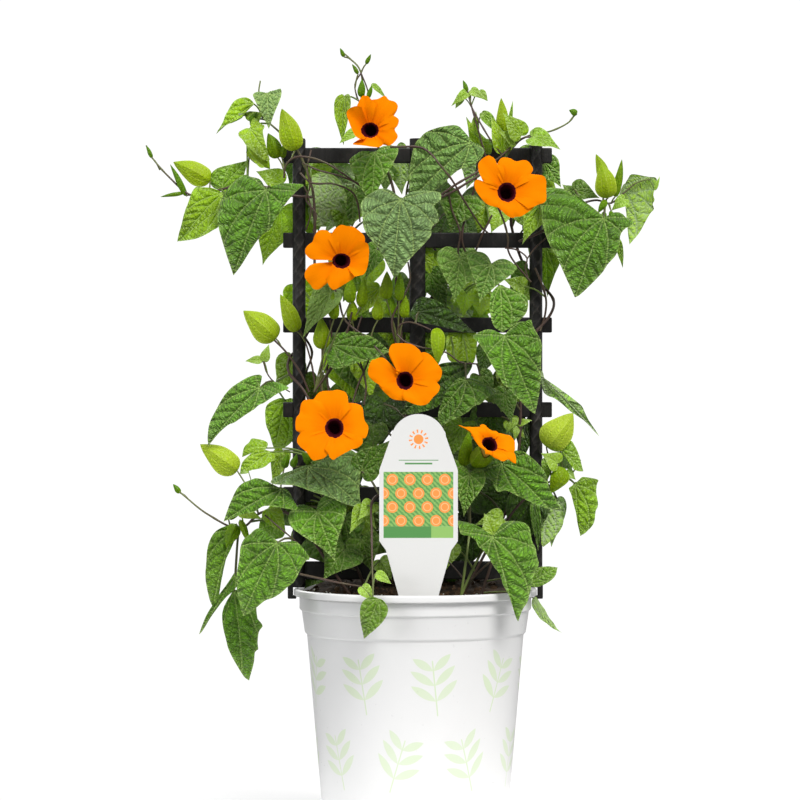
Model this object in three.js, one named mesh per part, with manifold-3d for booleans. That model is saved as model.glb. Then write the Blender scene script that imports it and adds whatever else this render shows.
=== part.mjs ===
// Black-eyed Susan vine trained on a clip-on trellis in a round nursery pot.
// Millimetres, +Z up, -Y the front. The origin is the centre of the pot's flat base.
import * as THREE from "three";
import { mergeVertices } from "three/addons/utils/BufferGeometryUtils.js";
import Module from "manifold-3d";

const wasm = await Module();
wasm.setup();

// ---------------------------------------------------------------- driving dimensions

const GAP = 0.3; // left between any two touching pieces
const SLIVER = 0.02; // thinner triangles are taken out of a finished solid

const POT_HEIGHT = 165;
const POT_SIDES = 36;
const RIM_RADIUS = 82.5;
const RIM_DEPTH = 4.7;
const WALL = 1.4;
const FLOOR = 2;
const BASE_RADIUS = 61.9;
const BASE_CHAMFER = 1.5;
const WALL_TAPER = 0.087; // radius gained per millimetre of height
const LOWER_RING_Z = 134.5;
const LOWER_BAND_RADIUS = [75.1, 77.2]; // at its foot and at its top
const UPPER_RING_Z = 150.5;
const UPPER_BAND_RADIUS = 78.7;
const MOUTH_RADIUS = 79;
const DRAIN_HOLES = 8;
const DRAIN_RADIUS = 4.5;
const DRAIN_CIRCLE = 48;

const SOIL_EDGE_Z = 154;
const SOIL_CROWN_Z = 162;
const SOIL_SLOPE_RADIUS = 40; // the surface falls away outside this radius
const SOIL_SLOPE_Z = 159;

const TRELLIS_X = 1.5; // the trellis sits this far to the right of the pot's axis
const POST_SPACING = 80.5;
const POST_WIDTH = 8.8;
const MIDDLE_POST_WIDTH = 10.8;
const POST_FRONT = -5;
const POST_BACK = 4.6;
const POST_TOP_Z = 470.5;
const MIDDLE_POST_FOOT_Z = 70;
const CLIP_HALF_WIDTH = 4;
const CLIP_THICKNESS = 3.6;
const CLIP_LIP = 2.2; // height of the toe that hooks under the pot's lip
const CLIP_BITE = 1.6; // how far the toe reaches in under the lip
const BAR_HALF_SPAN = 91.4;
const BAR_CORNER = 1.2;
const BAR_HEIGHT = 10.4;
const BAR_BACK = 2.2;
const BAR_THICKNESS = 4;
const BAR_TOP_Z = 459;
const BAR_PITCH = 57.6;
const BAR_COUNT = 5;
const BASE_BAR_Z = 177;
const BASE_BAR_HEIGHT = 12.4;

const STEM_RADIUS = 1.15;
const STALK_RADIUS = 0.8;
const LEAF_THICKNESS = 1.1;
const ARCH = 0.08; // how far a midrib bows, as a share of its length
const FOLD = 0.12; // rise of a blade's halves for each millimetre from the midrib

const TAG_Y = -68;
const TAG_X = 1.8;
const TAG_THICKNESS = 0.9;
const TAG_HALF_WIDTH = 25.8;
const TAG_NECK_HALF_WIDTH = 21.5;
const TAG_NECK_Z = 194.2;
const TAG_POINT_HALF_WIDTH = 3.5;
const TAG_FOOT_Z = 130;
const TAG_PANEL_FOOT_Z = 200.2;
const TAG_PANEL_TOP_Z = 246.8;
const TAG_TOP_Z = 283.6;
const TAG_TOP_RADIUS = 18.2;
const TAG_TOP_LEAN = 0.337; // the round top's sides lean in by this angle, in radians

// ---------------------------------------------------------------- materials

const finish = (color, roughness) => new THREE.MeshStandardMaterial({ color, roughness, metalness: 0 });

const white_plastic = finish(0xe9eae8, 0.35);
const black_plastic = finish(0x1d1c1e, 0.6);
const tag_card = finish(0xf2f2f0, 0.4);
const potting_mix = finish(0x2b211a, 0.95);
const stem_skin = finish(0x5c4a3c, 0.6);
const mature_leaf = finish(0x3f7a35, 0.55);
const young_leaf = finish(0x7fa822, 0.55);
const petal = finish(0xff8a00, 0.6);

// ---------------------------------------------------------------- solids

// A closed geometry as a manifold solid, with its shared vertices merged.
function solidOf(geometry) {
  const bare = new THREE.BufferGeometry().setAttribute("position", geometry.getAttribute("position"));
  if (geometry.index) bare.setIndex(geometry.index);
  const merged = mergeVertices(bare, 1e-4);
  return new wasm.Manifold(
    new wasm.Mesh({
      numProp: 3,
      vertProperties: new Float32Array(merged.attributes.position.array),
      triVerts: new Uint32Array(merged.index.array),
    }),
  );
}

// A manifold solid as a three.js geometry, without the slivers that joins and cuts leave.
function geometryOf(solid) {
  const mesh = solid.simplify(SLIVER).getMesh();
  return new THREE.BufferGeometry()
    .setAttribute("position", new THREE.BufferAttribute(mesh.vertProperties, 3))
    .setIndex(new THREE.BufferAttribute(mesh.triVerts, 1));
}

const joined = (solids) => solids.reduce((whole, piece) => whole.add(piece));
const vector = ([x, y, z]) => new THREE.Vector3(x, y, z);

// A block between two corners.
function block(low, high) {
  const size = vector(high).sub(vector(low));
  const centre = vector(high).add(vector(low)).multiplyScalar(0.5);
  return solidOf(new THREE.BoxGeometry(size.x, size.y, size.z).translate(centre.x, centre.y, centre.z));
}

const smooth = (points) => new THREE.CatmullRomCurve3(points, false, "catmullrom", 0.5);

// A round tube of a few sides along a curve.
function tube(extrudePath, radius, sides, steps) {
  const section = new THREE.Shape();
  for (let i = 0; i < sides; i++) {
    const turn = (2 * Math.PI * i) / sides;
    const corner = [radius * Math.cos(turn), radius * Math.sin(turn)];
    if (i) section.lineTo(...corner);
    else section.moveTo(...corner);
  }
  section.closePath();
  return solidOf(new THREE.ExtrudeGeometry(section, { steps, bevelEnabled: false, extrudePath }));
}

// A matrix that carries +Y onto `along` and +Z as near as it can onto `up`.
function framed(origin, along, up) {
  const y = along.clone().normalize();
  const z = up.clone().addScaledVector(y, -up.dot(y)).normalize();
  return new THREE.Matrix4().makeBasis(y.clone().cross(z), y, z).setPosition(origin);
}

// ---------------------------------------------------------------- pot and soil

const wallRadius = (z) => BASE_RADIUS + WALL_TAPER * z;

function pot() {
  const [band_foot, band_top] = LOWER_BAND_RADIUS;
  const lip_foot = POT_HEIGHT - RIM_DEPTH;
  const outside = [
    [0, 0],
    [BASE_RADIUS - BASE_CHAMFER, 0],
    [wallRadius(BASE_CHAMFER), BASE_CHAMFER],
    [wallRadius(LOWER_RING_Z), LOWER_RING_Z],
    [band_foot, LOWER_RING_Z + 1],
    [band_top, UPPER_RING_Z],
    [UPPER_BAND_RADIUS, UPPER_RING_Z + 1],
    [UPPER_BAND_RADIUS, lip_foot],
    [RIM_RADIUS, lip_foot],
    [RIM_RADIUS, POT_HEIGHT],
  ];
  const inside = [
    [MOUTH_RADIUS, POT_HEIGHT],
    [band_top - WALL, UPPER_RING_Z],
    [band_foot - WALL, LOWER_RING_Z + 1],
    [wallRadius(LOWER_RING_Z) - WALL, LOWER_RING_Z - 1],
    [wallRadius(FLOOR) - WALL, FLOOR],
    [0, FLOOR],
  ];
  const profile = [...outside, ...inside].map(([r, z]) => new THREE.Vector2(r, z));
  const shell = solidOf(new THREE.LatheGeometry(profile, POT_SIDES).rotateX(Math.PI / 2));
  const holes = Array.from({ length: DRAIN_HOLES }, (_, i) => {
    const turn = (2 * Math.PI * (i + 0.5)) / DRAIN_HOLES;
    const hole = new THREE.CylinderGeometry(DRAIN_RADIUS, DRAIN_RADIUS, 4 * FLOOR, 10).rotateX(Math.PI / 2);
    return solidOf(hole.translate(DRAIN_CIRCLE * Math.cos(turn), DRAIN_CIRCLE * Math.sin(turn), 0));
  });
  return shell.subtract(joined(holes));
}

function soil() {
  const inset = WALL + 2 * GAP; // clear of the wall, whose inner face has the same number of sides
  const [band_foot, band_top] = LOWER_BAND_RADIUS;
  const profile = [
    [0, FLOOR + GAP],
    [wallRadius(FLOOR) - inset, FLOOR + GAP],
    [wallRadius(LOWER_RING_Z) - inset, LOWER_RING_Z - 1],
    [band_foot - inset, LOWER_RING_Z + 2],
    [band_top - inset, UPPER_RING_Z],
    [band_top - inset, SOIL_EDGE_Z],
    [SOIL_SLOPE_RADIUS, SOIL_SLOPE_Z],
    [0, SOIL_CROWN_Z],
  ].map(([r, z]) => new THREE.Vector2(r, z));
  return solidOf(new THREE.LatheGeometry(profile, POT_SIDES).rotateX(Math.PI / 2));
}

// ---------------------------------------------------------------- trellis

const barHeights = Array.from({ length: BAR_COUNT }, (_, i) => BAR_TOP_Z - i * BAR_PITCH);

// A flat bar with rounded ends. `grow` makes the slot that the bar passes through.
function crossbar(z, halfSpan, height, grow = 0) {
  const half = height / 2 + grow;
  const end = halfSpan + grow;
  const outline = new THREE.Shape();
  outline.moveTo(-end + BAR_CORNER, -half);
  outline.lineTo(end - BAR_CORNER, -half);
  outline.lineTo(end, -half + BAR_CORNER);
  outline.lineTo(end, half - BAR_CORNER);
  outline.lineTo(end - BAR_CORNER, half);
  outline.lineTo(-end + BAR_CORNER, half);
  outline.lineTo(-end, half - BAR_CORNER);
  outline.lineTo(-end, -half + BAR_CORNER);
  outline.closePath();
  const depth = BAR_THICKNESS + 2 * grow;
  const bar = new THREE.ExtrudeGeometry(outline, { depth, bevelEnabled: false, steps: 1 });
  return solidOf(bar.rotateX(Math.PI / 2).translate(TRELLIS_X, BAR_BACK + grow, z));
}

// A post with a half-round front and a flat back, as tall as from foot to POST_TOP_Z.
function postBlank(x, width, foot) {
  const half = width / 2;
  const round = 0.8 * half;
  const outline = new THREE.Shape();
  outline.moveTo(half, POST_BACK);
  outline.lineTo(-half, POST_BACK);
  outline.lineTo(-half, POST_FRONT + round);
  outline.absellipse(0, POST_FRONT + round, half, round, Math.PI, 2 * Math.PI, false);
  outline.closePath();
  const options = { depth: POST_TOP_Z - foot, bevelEnabled: false, steps: 1, curveSegments: 4 };
  return solidOf(new THREE.ExtrudeGeometry(outline, options).translate(x, 0, foot));
}

// The hook under an outer post, which snaps over the pot's lip. side is -1 on the left, 1 on the right.
function rimClip(side) {
  const inner = RIM_RADIUS + 2 * GAP;
  const outer = inner + CLIP_THICKNESS;
  const toe_top = POT_HEIGHT - RIM_DEPTH - GAP;
  const saddle_foot = POT_HEIGHT + 2 * GAP;
  const saddle_top = saddle_foot + CLIP_THICKNESS;
  const slab = (reach, low, high) => {
    const [left, right] = [side * reach, side * outer].sort((a, b) => a - b);
    return block([left, -CLIP_HALF_WIDTH, low], [right, CLIP_HALF_WIDTH, high]);
  };
  return joined([
    slab(inner, toe_top - CLIP_LIP, saddle_top),
    slab(RIM_RADIUS - CLIP_BITE, toe_top - CLIP_LIP, toe_top),
    slab(UPPER_BAND_RADIUS, saddle_foot, saddle_top),
  ]);
}

function trellis() {
  const bars = barHeights.map((z) => crossbar(z, BAR_HALF_SPAN, BAR_HEIGHT));
  bars.push(crossbar(BASE_BAR_Z, POST_SPACING, BASE_BAR_HEIGHT));
  const slots = joined([
    ...barHeights.map((z) => crossbar(z, BAR_HALF_SPAN, BAR_HEIGHT, GAP)),
    crossbar(BASE_BAR_Z, POST_SPACING, BASE_BAR_HEIGHT, GAP),
  ]);
  const outer_foot = POT_HEIGHT + 2 * GAP;
  const posts = {
    left: postBlank(TRELLIS_X - POST_SPACING, POST_WIDTH, outer_foot).add(rimClip(-1)),
    middle: postBlank(TRELLIS_X, MIDDLE_POST_WIDTH, MIDDLE_POST_FOOT_Z),
    right: postBlank(TRELLIS_X + POST_SPACING, POST_WIDTH, outer_foot).add(rimClip(1)),
  };
  const pieces = {};
  for (const [side, blank] of Object.entries(posts)) pieces[`trellis_post_${side}`] = blank.subtract(slots);
  bars.forEach((bar, i) => {
    pieces[i < BAR_COUNT ? `trellis_crossbar_${i + 1}` : "trellis_base_bar"] = bar;
  });
  return pieces;
}

// ---------------------------------------------------------------- plant label

// A stake that widens to a square panel and narrows again to a round top.
function tagOutline(grow = 0) {
  const outline = new THREE.Shape();
  outline.moveTo(-TAG_POINT_HALF_WIDTH - grow, TAG_FOOT_Z - grow);
  outline.lineTo(TAG_POINT_HALF_WIDTH + grow, TAG_FOOT_Z - grow);
  outline.lineTo(TAG_NECK_HALF_WIDTH + grow, TAG_NECK_Z);
  outline.lineTo(TAG_HALF_WIDTH + grow, TAG_PANEL_FOOT_Z);
  outline.lineTo(TAG_HALF_WIDTH + grow, TAG_PANEL_TOP_Z);
  outline.absarc(0, TAG_TOP_Z - TAG_TOP_RADIUS, TAG_TOP_RADIUS, TAG_TOP_LEAN, Math.PI - TAG_TOP_LEAN, false);
  outline.lineTo(-TAG_HALF_WIDTH - grow, TAG_PANEL_TOP_Z);
  outline.lineTo(-TAG_HALF_WIDTH - grow, TAG_PANEL_FOOT_Z);
  outline.lineTo(-TAG_NECK_HALF_WIDTH - grow, TAG_NECK_Z);
  outline.closePath();
  return outline;
}

function tag(grow = 0) {
  const depth = TAG_THICKNESS + 2 * grow;
  const options = { depth, bevelEnabled: false, steps: 1, curveSegments: 10 };
  const plate = new THREE.ExtrudeGeometry(tagOutline(grow), options);
  return solidOf(plate.rotateX(Math.PI / 2).translate(TAG_X, TAG_Y + depth / 2, 0));
}

// ---------------------------------------------------------------- vine stems

// Each stem climbs through these points. Those that start on another stem begin on its centre line.
const STEMS = {
  vine_left: [
    [-28, -6, 150], [-40, -10, 180], [-58, -12, 215], [-67, -11, 250], [-68, -11, 282], [-78, -11, 300],
    [-90, -5, 312], [-89, 6, 322], [-78, 10, 333], [-67, 9, 352], [-65, -2, 365], [-68, -11, 378],
    [-68, -11, 410], [-70, -11, 437], [-80, -13, 462], [-92, -12, 474], [-104, -10, 486], [-106, -9, 500],
    [-105, -8, 509],
  ],
  vine_left_outer: [
    [-70, -11, 430], [-84, -15, 431], [-100, -17, 436], [-118, -16, 438], [-134, -14, 434], [-151, -13, 431],
    [-167, -12, 444], [-179, -11, 458], [-182, -11, 465],
  ],
  vine_centre: [
    [4, -8, 150], [-10, -10, 190], [-12, -11, 240], [-6, -11, 290], [-10, -11, 340], [-14, -11, 390],
    [-14, -11, 430], [-22, -12, 455], [-28, -10, 472], [-34, -8, 492], [-37, -7, 515], [-44, -6, 524],
    [-50, -6, 529],
  ],
  vine_right: [
    [26, -8, 150], [45, -10, 185], [62, -11, 220], [70, -11, 260], [71, -11, 300], [70, -11, 322],
    [79, -12, 336], [91, -9, 350], [94, 2, 361], [86, 10, 372], [74, 10, 386], [67, 9, 406], [65, 0, 418],
    [67, -11, 430], [60, -12, 452], [68, -12, 466], [78, -10, 472], [92, -8, 475], [104, -8, 481],
    [109, -8, 488],
  ],
  vine_right_outer: [
    [70, -11, 400], [80, -14, 404], [95, -15, 412], [110, -12, 424], [122, -10, 428], [132, -8, 426],
    [140, -6, 432], [150, -5, 440], [160, -5, 443],
  ],
  vine_lower_left: [
    [-36, -22, 150], [-55, -28, 178], [-72, -28, 203], [-88, -26, 218], [-104, -22, 217], [-119, -16, 206],
    [-140, -14, 217], [-155, -12, 228], [-163, -11, 234],
  ],
  vine_lower_right: [
    [40, -26, 150], [52, -22, 185], [62, -20, 212], [78, -16, 230], [92, -11, 238], [104, -8, 241],
    [112, -6, 252],
  ],
  vine_front: [
    [-11.5, -11, 222], [-22, -30, 229], [-29, -52, 225], [-29, -68, 206], [-28.5, -79, 184], [-28, -85, 172],
    [-28, -87, 162],
  ],
  vine_back: [
    [6, 24, 150], [-10, 18, 200], [14, 14, 260], [-12, 14, 320], [18, 14, 380], [-6, 14, 430],
    [10, 12, 472],
  ],
};

const stemSteps = (name) => 2 * (STEMS[name].length - 1);
const stemTube = (name, radius) => tube(smooth(STEMS[name].map(vector)), radius, 5, stemSteps(name));
const stemJoints = Object.keys(STEMS).flatMap((name) =>
  smooth(STEMS[name].map(vector)).getSpacedPoints(stemSteps(name)).map((point) => ({ stem: name, point })),
);

// The joint of a stem that is nearest to where a stalk wants to start, a little below what it holds.
function stemRoot(target) {
  const wanted = target.clone().add(new THREE.Vector3(0, 0, -9));
  return stemJoints.reduce((best, joint) =>
    joint.point.distanceTo(wanted) < best.point.distanceTo(wanted) ? joint : best,
  );
}

// A thin stalk that leaves its stem and bows up to `top`, or goes round by way of `via`.
function stalk(root, top, via) {
  const middle = via ? vector(via) : root.clone().lerp(top, 0.5);
  if (!via) middle.z += 0.12 * root.distanceTo(top);
  return tube(smooth([root, middle, top]), STALK_RADIUS, 4, via ? 5 : 3);
}

// ---------------------------------------------------------------- leaves

const TOWARDS_FRONT = [0, -1, 0.25];

// Half of a heart-shaped blade: polar angle from the tip in degrees, and radius as a share of the length.
const BLADE_OUTLINE = [
  [0, 1], [22.5, 0.7], [45, 0.565], [67.5, 0.53], [90, 0.52],
  [112.5, 0.5], [135, 0.34], [157.5, 0.1], [180, 0.07],
];
const BLADE_SPREAD = 1.06; // width over length of the outline above
const BLADE_SIDES = 16;

function bladeRadius(degrees) {
  const turn = Math.abs(degrees);
  const next = BLADE_OUTLINE.findIndex(([angle]) => angle >= turn - 1e-6);
  if (next <= 0) return BLADE_OUTLINE[0][1];
  const [a, from] = BLADE_OUTLINE[next - 1];
  const [b, to] = BLADE_OUTLINE[next];
  return from + ((to - from) * (turn - a)) / (b - a);
}

// A blade is a flattened sphere: its equator is the margin, its poles the stalk's end above and below.
// The midrib bows towards the upper face, and both halves are lifted off it.
function blade({ base, tip, width, face = TOWARDS_FRONT }) {
  const from = vector(base);
  const along = vector(tip).sub(from);
  const length = along.length();
  const sideways = width / (BLADE_SPREAD * length);
  const shape = new THREE.SphereGeometry(1, BLADE_SIDES, 4);
  const position = shape.getAttribute("position");
  const point = new THREE.Vector3();
  for (let i = 0; i < position.count; i++) {
    point.fromBufferAttribute(position, i);
    const share = Math.hypot(point.x, point.z);
    const turn = share < 1e-6 ? 0 : Math.atan2(-point.x, point.z);
    const reach = share * bladeRadius(THREE.MathUtils.radToDeg(turn)) * length;
    const x = reach * Math.sin(turn) * sideways;
    const y = reach * Math.cos(turn);
    const s = y / length;
    const lift = ARCH * length * 4 * s * (1 - s) + FOLD * Math.abs(x);
    position.setXYZ(i, x, y, lift + (point.y * LEAF_THICKNESS) / 2);
  }
  return solidOf(shape.applyMatrix4(framed(from, along, vector(face))));
}

// A leaf is its blade and its stalk. Its node leaves GAP to the stem that it grows on.
function leaf(row) {
  const top = vector(row.base);
  const { stem, point } = stemRoot(vector(row.via ?? row.base));
  return blade(row)
    .add(stalk(point, top, row.via))
    .subtract(stemTube(stem, STEM_RADIUS + GAP));
}

const LEAVES = {
  leaf_upper_left_large: {
    base: [-101, -34, 435], tip: [-122, -42, 379], width: 57, face: [0.05, -1, 0.2],
  },
  leaf_upper_left_folded: {
    base: [-133, -20, 434], tip: [-161, -24, 401], width: 32, face: [-0.3, -0.8, 0.5], via: [-127, -19, 431],
  },
  leaf_left_bay_lime: { base: [-92, 13, 423], tip: [-105, 17, 385], width: 34, tone: young_leaf },
  leaf_top_centre_small: { base: [-27, -24, 458], tip: [-29, -30, 427], width: 31, via: [-20, -20, 448] },
  leaf_centre_large: { base: [-10, -38, 428], tip: [-15, -46, 376], width: 52, face: [0, -1, 0.15] },
  leaf_top_centre_large: { base: [38, -18, 458], tip: [0, -24, 418], width: 52, face: [0.1, -1, 0.2] },
  leaf_upper_right_large: {
    base: [129, -24, 416], tip: [109, -34, 362], width: 62, face: [-0.1, -1, 0.15],
  },
  leaf_far_right: {
    base: [147, -2, 441], tip: [146, -6, 399], width: 27, face: [0.4, -0.9, 0.1], tone: young_leaf,
  },
  leaf_right_behind_post: { base: [89, 13, 398], tip: [91, 17, 363], width: 24, tone: young_leaf },
  leaf_right_bay_upper: { base: [30, -14, 388], tip: [26, -18, 358], width: 31 },
  leaf_right_bay_second: { base: [51, -20, 384], tip: [43, -24, 358], width: 33 },
  leaf_right_bay_upturned: {
    base: [63, -32, 341], tip: [55, -28, 372], width: 27, face: [0, -1, -0.1], via: [66, -22, 331],
  },
  leaf_middle_dark: { base: [2, -18, 352], tip: [42, -22, 338], width: 24 },
  leaf_left_post_front: { base: [-57, -20, 365], tip: [-76, -24, 335], width: 20, face: [-0.2, -1, 0.2] },
  leaf_left_long: { base: [-105, -26, 302], tip: [-140, -30, 259], width: 34, face: [-0.4, -0.8, 0.45] },
  leaf_left_lime_lower: {
    base: [-89, 13, 292], tip: [-96, 16, 259], width: 28, via: [-95, 5, 304], tone: young_leaf,
  },
  leaf_centre_dark_large: { base: [37, -18, 316], tip: [-8, -26, 285], width: 38, face: [0, -1, 0.3] },
  leaf_centre_right_toothed: { base: [36, -32, 303], tip: [14, -38, 275], width: 36, face: [0, -1, 0.3] },
  leaf_right_large: {
    base: [61, -42, 334], tip: [81, -52, 284], width: 46, face: [0.1, -1, 0.15], via: [65, -27, 316],
  },
  leaf_right_trailing: { base: [93, -14, 311], tip: [127, -9, 267], width: 22, face: [0.76, -0.1, 0.65] },
  leaf_lower_right_mid: { base: [57, -32, 250], tip: [95, -38, 214], width: 40, face: [0.1, -0.9, 0.4] },
  leaf_lower_right_large: { base: [53, -60, 199], tip: [68, -73, 146], width: 50, face: [0.1, -1, 0.15] },
  leaf_far_right_lower: {
    base: [111, -8, 236], tip: [112, -12, 199], width: 24, face: [0.5, -0.8, 0.2], tone: young_leaf,
  },
  leaf_lower_left_upper: {
    base: [-90, -36, 231], tip: [-129, -44, 210], width: 34, face: [-0.1, -0.7, 0.7],
  },
  leaf_lower_left_dark: {
    base: [-72, -30, 246], tip: [-35, -38, 219], width: 44, face: [0.1, -0.75, 0.65],
  },
  leaf_lower_left_large: { base: [-91, -46, 196], tip: [-114, -56, 147], width: 48, face: [0, -1, 0.15] },
  leaf_lower_left_far: {
    base: [-122, -16, 206], tip: [-137, -20, 152], width: 22, face: [-0.6, -0.7, 0.3],
  },
  leaf_lower_left_hanging: {
    base: [-119, -8, 163], tip: [-113, -10, 104], width: 34, face: [0.2, -0.95, 0.1],
  },
  leaf_front_hanging: { base: [-28, -90, 157], tip: [-35, -92, 131], width: 17, face: [0, -1, 0.1] },
  leaf_back_upper: { base: [30, 30, 430], tip: [24, 40, 380], width: 50, face: [0, 1, 0.2] },
  leaf_back_left: { base: [-40, 30, 330], tip: [-46, 40, 280], width: 50, face: [0, 1, 0.2] },
  leaf_back_right: { base: [46, 32, 270], tip: [40, 44, 218], width: 48, face: [0, 1, 0.2] },
  leaf_back_lower: { base: [-34, 52, 214], tip: [-44, 66, 172], width: 44, face: [0, 1, 0.3] },
};

// ---------------------------------------------------------------- young growth, joined to its stem

const YOUNG_LEAVES = [
  { base: [-114, -12, 493], tip: [-135, -16, 472], width: 13, face: [-0.4, -0.6, 0.6] },
  { base: [-101, -18, 501], tip: [-99, -22, 478], width: 22 },
  { base: [-101, -20, 455], tip: [-110, -24, 484], width: 17, face: [-0.2, -1, 0] },
  { base: [79, -16, 470], tip: [98, -18, 462], width: 17, face: [0.1, -0.8, 0.5] },
  { base: [71, -20, 471], tip: [59, -22, 486], width: 15 },
  { base: [-48, -10, 498], tip: [-49, -14, 465], width: 12, face: [-0.3, -1, 0] },
];

// Unopened buds inside their two bracts.
const BUDS = [
  { base: [-139, -8, 441], tip: [-164, -8, 454], width: 16 },
  { base: [-81, -18, 461], tip: [-90, -20, 489], width: 16 },
  { base: [130, -14, 430], tip: [125, -16, 459], width: 16 },
  { base: [-80, -18, 339], tip: [-91, -20, 364], width: 13 },
  { base: [-94, -16, 334], tip: [-116, -18, 353], width: 20 },
  { base: [90, -12, 261], tip: [107, -14, 284], width: 19 },
  { base: [-120, -18, 245], tip: [-145, -20, 263], width: 20 },
  { base: [59, -10, 472], tip: [58, -12, 497], width: 11 },
];

// Open flowers: the throat's centre and the way the flower looks.
const FLOWERS = [
  { centre: [-31, -52, 475], look: [-0.1, -1, 0.25], radius: 18 },
  { centre: [60, -58, 434], look: [0.05, -1, 0.1], radius: 24.5 },
  { centre: [-52, -58, 388], look: [0.1, -1, -0.1], radius: 22 },
  { centre: [-7, -62, 308], look: [-0.05, -1, 0.05], radius: 24.5 },
  { centre: [-54, -62, 276], look: [0, -1, 0.1], radius: 25 },
  { centre: [48, -54, 262], look: [0.5, -0.6, 0.65], radius: 20 },
];
const TUBE_LENGTH = 16;
const BRACT_LENGTH = 14;

// A bud or a pair of bracts: an egg between base and tip.
function pod(base, tip, width) {
  const along = tip.clone().sub(base);
  const egg = new THREE.SphereGeometry(0.5, 6, 4).scale(width, along.length(), width * 0.75);
  const middle = base.clone().lerp(tip, 0.5);
  return solidOf(egg.applyMatrix4(framed(middle, along, new THREE.Vector3(0, -1, 0.01))));
}

// The five-lobed corolla with its tube behind it: a turned profile whose limb is notched between the lobes.
function corolla({ centre, look, radius }) {
  const profile = [
    [0, -TUBE_LENGTH], [4.2, -TUBE_LENGTH + 1], [7.2, -1.4], [radius, -0.5],
    [radius, 0.5], [5.8, 0.3], [2.8, -TUBE_LENGTH + 2.2], [0, -TUBE_LENGTH + 2],
  ].map(([r, z]) => new THREE.Vector2(r, z));
  const shape = new THREE.LatheGeometry(profile, 20);
  const position = shape.getAttribute("position");
  for (let i = 0; i < position.count; i++) {
    const [x, y, z] = [position.getX(i), position.getY(i), position.getZ(i)];
    const out = Math.hypot(x, z);
    const notch = out > radius - 1 ? 0.84 + 0.16 * Math.abs(Math.cos(2.5 * Math.atan2(x, z))) ** 0.6 : 1;
    position.setXYZ(i, x * notch, y, z * notch);
  }
  return solidOf(shape.applyMatrix4(framed(vector(centre), vector(look), new THREE.Vector3(0, 0, 1))));
}

// Bracts and flower stalk behind a corolla.
function flowerStalk({ centre, look }) {
  const back = vector(look).normalize().negate();
  const bract_top = vector(centre).addScaledVector(back, TUBE_LENGTH + 2 * GAP);
  const bract_base = bract_top.clone().addScaledVector(back, BRACT_LENGTH);
  const { stem, point } = stemRoot(bract_base);
  const into = bract_base.clone().addScaledVector(back, -2);
  return { stem, solid: pod(bract_base, bract_top, 12).add(stalk(point, into)) };
}

function stemPieces() {
  const pieces = Object.fromEntries(Object.keys(STEMS).map((name) => [name, [stemTube(name, STEM_RADIUS)]]));
  for (const row of YOUNG_LEAVES) {
    const { stem, point } = stemRoot(vector(row.base));
    pieces[stem].push(blade(row).add(stalk(point, vector(row.base))));
  }
  for (const { base, tip, width } of BUDS) {
    const { stem, point } = stemRoot(vector(base));
    const into = vector(base).lerp(vector(tip), 0.1);
    pieces[stem].push(pod(vector(base), vector(tip), width).add(stalk(point, into)));
  }
  for (const row of FLOWERS) {
    const { stem, solid } = flowerStalk(row);
    pieces[stem].push(solid);
  }
  return Object.fromEntries(Object.entries(pieces).map(([name, solids]) => [name, joined(solids)]));
}

// A side stem is cut back where it leaves its parent.
const PARENT_STEM = {
  vine_left_outer: "vine_left",
  vine_right_outer: "vine_right",
  vine_front: "vine_centre",
};

// ---------------------------------------------------------------- the whole object

const plant = new THREE.Group();

function add(name, solid, material) {
  const mesh = new THREE.Mesh(geometryOf(solid), material);
  mesh.name = name;
  plant.add(mesh);
}

add("pot", pot(), white_plastic);
const rooted = Object.keys(STEMS).filter((name) => !(name in PARENT_STEM));
const sockets = joined([
  ...rooted.map((name) => stemTube(name, STEM_RADIUS + GAP)),
  postBlank(TRELLIS_X, MIDDLE_POST_WIDTH + 2 * GAP, MIDDLE_POST_FOOT_Z - GAP),
  block([TRELLIS_X - 7, POST_FRONT - GAP, MIDDLE_POST_FOOT_Z - GAP], [TRELLIS_X + 7, POST_BACK + GAP, 180]),
  tag(GAP),
]);
add("potting_soil", soil().subtract(sockets), potting_mix);
add("plant_tag", tag(), tag_card);
for (const [name, solid] of Object.entries(trellis())) add(name, solid, black_plastic);
for (const [name, solid] of Object.entries(stemPieces())) {
  const parent = PARENT_STEM[name];
  add(name, parent ? solid.subtract(stemTube(parent, STEM_RADIUS + GAP)) : solid, stem_skin);
}
FLOWERS.forEach((row, i) => add(`flower_${i + 1}`, corolla(row), petal));
for (const [name, row] of Object.entries(LEAVES)) add(name, leaf(row), row.tone ?? mature_leaf);

export default plant;
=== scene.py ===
"""Black-eyed Susan vine on a clip-on trellis, in its nursery pot: skins and finishes around the fixed frame.

Shapes are worked out in millimetres and degrees and put into meshes in metres.
-Y is the front, +Z is up, and the origin is the centre of the pot's base.
"""

from typing import NamedTuple

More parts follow.
